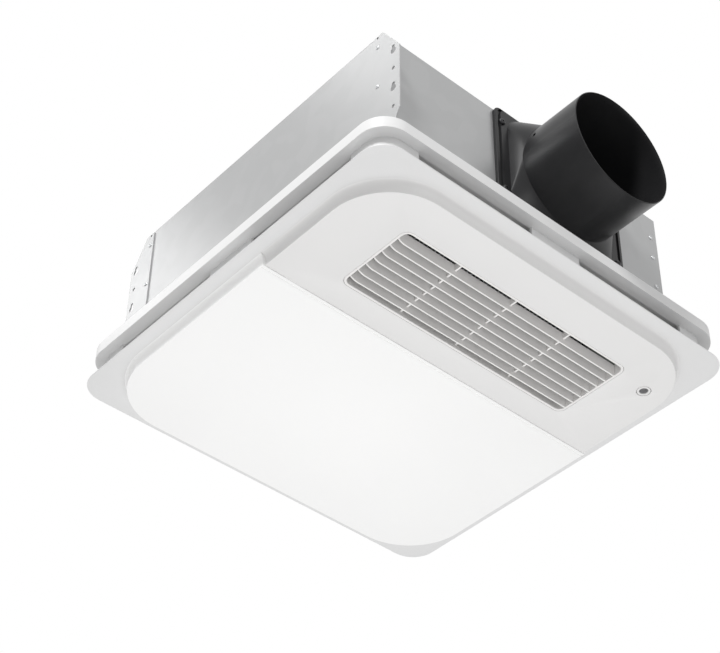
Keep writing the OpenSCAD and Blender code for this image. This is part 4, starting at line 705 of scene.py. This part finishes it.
def buildSprings():
    s = spring
    path = springPath()
    curve = bpy.data.curves.new("springWire", "CURVE")
    curve.dimensions = "3D"
    curve.bevel_depth = s["wire"] * mm
    curve.bevel_resolution = s["sides"]
    curve.use_fill_caps = True
    for sign in (-1, 1):
        wire = curve.splines.new("POLY")
        wire.points.add(len(path) - 1)
        for point, (x, y, z) in zip(wire.points, path):
            point.co = ((x + s["x"]) * mm, (y + sign * s["y"]) * mm, (z + s["z"]) * mm, 1)
    holder = addObject("springWire", curve)
    mesh = bpy.data.meshes.new_from_object(holder.evaluated_get(bpy.context.evaluated_depsgraph_get()))
    bm = bmesh.new()
    bm.from_mesh(mesh)
    bpy.data.objects.remove(holder)
    bpy.data.curves.remove(curve)
    bpy.data.meshes.remove(mesh)
    placePiece(bm, "panel_springs", s["sharp"], 1)


buildSprings()
print("springs ready")

# Ceiling frame: its inner wall, with the tabs and air windows, stands close to the outer wall.
ring = {
    "wallHalf": 158, "cornerAt": 146, "wallBand": (-2.6, 0.3), "wallOut": 6.6,
    "soft": 0.6, "softSegments": 3,
}


def buildFrameRing():
    bm = nodeMesh("frame_ring")
    corner = ring["cornerAt"] * mm
    for vert in bm.verts:
        way = Vector([math.copysign(max(0, abs(c) - corner), c) for c in vert.co.xy])
        past = way.length / mm + ring["cornerAt"] - ring["wallHalf"]
        if ring["wallBand"][0] < past < ring["wallBand"][1]:
            out = way.normalized() * ring["wallOut"] * mm
            vert.co.x += out.x
            vert.co.y += out.y
    dressNode("frame_ring", bm, ring["soft"] * mm, ring["softSegments"])


buildFrameRing()
print("frame ring ready")

# Every other node keeps its CAD shape, with soft edges where light catches them.
nodeEdge = {
    "light_tray": {"edge": 0.3 * mm},
    "impeller": {"edge": 0.12 * mm, "segments": 1},
}
for node in frame["nodes"]:
    if node not in replacedNodes:
        dressNode(node, nodeMesh(node), **nodeEdge.get(node, {}))
print("pieces ready:", len(replacedNodes))

# Studio: the camera stands below the ceiling and looks up.
camera = {
    "place": (0.79216, -0.72058, -0.92859),
    "look": (-0.56852, 0.48781, 0.66244),
    "right": (0.65891, 0.75213, 0.01163),
    "lens": 92.48,
    "sensor": 36,
    "clip": (0.01, 50),
}
studio = {
    "world": 0.46,
    "lamps": {
        "key": {"place": (1.0, -1.9, 1.2), "size": 0.45, "power": 41},
        "below": {"place": (-0.1, 0.1, -1.45), "size": 1.6, "power": 10.2},
        "nearTop": {"place": (-0.117, -0.376, 0.533), "size": 0.12, "power": 0.13,
                    "aim": (0.135, -0.146, 0.11)},
        "farEnd": {"place": (-0.456, -0.34, 0.396), "size": 0.15, "power": 0.19,
                   "aim": (-0.12, -0.146, 0.06)},
        "gleam": {"place": (1.44, -0.053, 0.24), "size": 0.25, "power": 1.6,
                  "aim": (0.15, -0.014, 0.05)},
    },
    "aim": (0, 0, 0.03),
    "floorDrop": 1.6,
    "floorHalf": 6,
    "floor": {"colour": (0.86, 0.86, 0.86), "vary": 0.01, "roughness": (0.7, 0.8), "broad": 2,
              "fine": 60, "bump": 0.02, "grain": 0.001},
}


def buildCamera():
    data = bpy.data.cameras.new("camera")
    data.lens = camera["lens"]
    data.sensor_width = camera["sensor"]
    data.clip_start, data.clip_end = camera["clip"]
    eye = addObject("camera", data)
    look, right = Vector(camera["look"]).normalized(), Vector(camera["right"]).normalized()
    up = right.cross(look).normalized()
    axes = Matrix((right, up, -look)).transposed().to_4x4()
    eye.matrix_world = Matrix.Translation(camera["place"]) @ axes
    bpy.context.scene.camera = eye


def buildLamps():
    for name, lamp in studio["lamps"].items():
        data = bpy.data.lights.new(name, "AREA")
        data.shape = "SQUARE"
        data.size = lamp["size"]
        data.energy = lamp["power"]
        light = addObject(name, data)
        light.location = lamp["place"]
        light.visible_camera = False
        aim = Vector(lamp.get("aim", studio["aim"]))
        light.rotation_euler = (aim - light.location).to_track_quat("-Z", "Y").to_euler()


def buildWorld():
    # white where it is seen, straight or in a gloss, and softer where it lights
    world = bpy.data.worlds.new("studio")
    bpy.context.scene.world = world
    world.use_nodes = True
    tree = world.node_tree
    tree.nodes.clear()
    output = addNode(tree, "ShaderNodeOutputWorld")
    seen = addNode(tree, "ShaderNodeBackground", Color=(1, 1, 1, 1), Strength=1)
    lit = addNode(tree, "ShaderNodeBackground", Color=(1, 1, 1, 1), Strength=studio["world"])
    mix = addNode(tree, "ShaderNodeMixShader")
    path = addNode(tree, "ShaderNodeLightPath")
    either = path.outputs["Is Camera Ray"]
    for ray in ("Is Glossy Ray", "Is Transmission Ray"):
        pick = addNode(tree, "ShaderNodeMath", operation="MAXIMUM")
        tree.links.new(either, pick.inputs[0])
        tree.links.new(path.outputs[ray], pick.inputs[1])
        either = pick.outputs["Value"]
    tree.links.new(either, mix.inputs["Fac"])
    tree.links.new(lit.outputs["Background"], mix.inputs[1])
    tree.links.new(seen.outputs["Background"], mix.inputs[2])
    tree.links.new(mix.outputs["Shader"], output.inputs["Surface"])


def buildFloor():
    bm = bmesh.new()
    made = bmesh.ops.create_grid(bm, x_segments=1, y_segments=1, size=studio["floorHalf"])
    bmesh.ops.translate(bm, vec=(0, 0, -studio["floorDrop"]), verts=made["verts"])
    mesh = bpy.data.meshes.new("floor")
    bm.to_mesh(mesh)
    bm.free()
    mesh.materials.append(surface("floorPale", studio["floor"]))
    addObject("floor", mesh)


buildCamera()
buildLamps()
buildWorld()
buildFloor()
bpy.context.scene.view_settings.view_transform = "Standard"
print("studio ready")
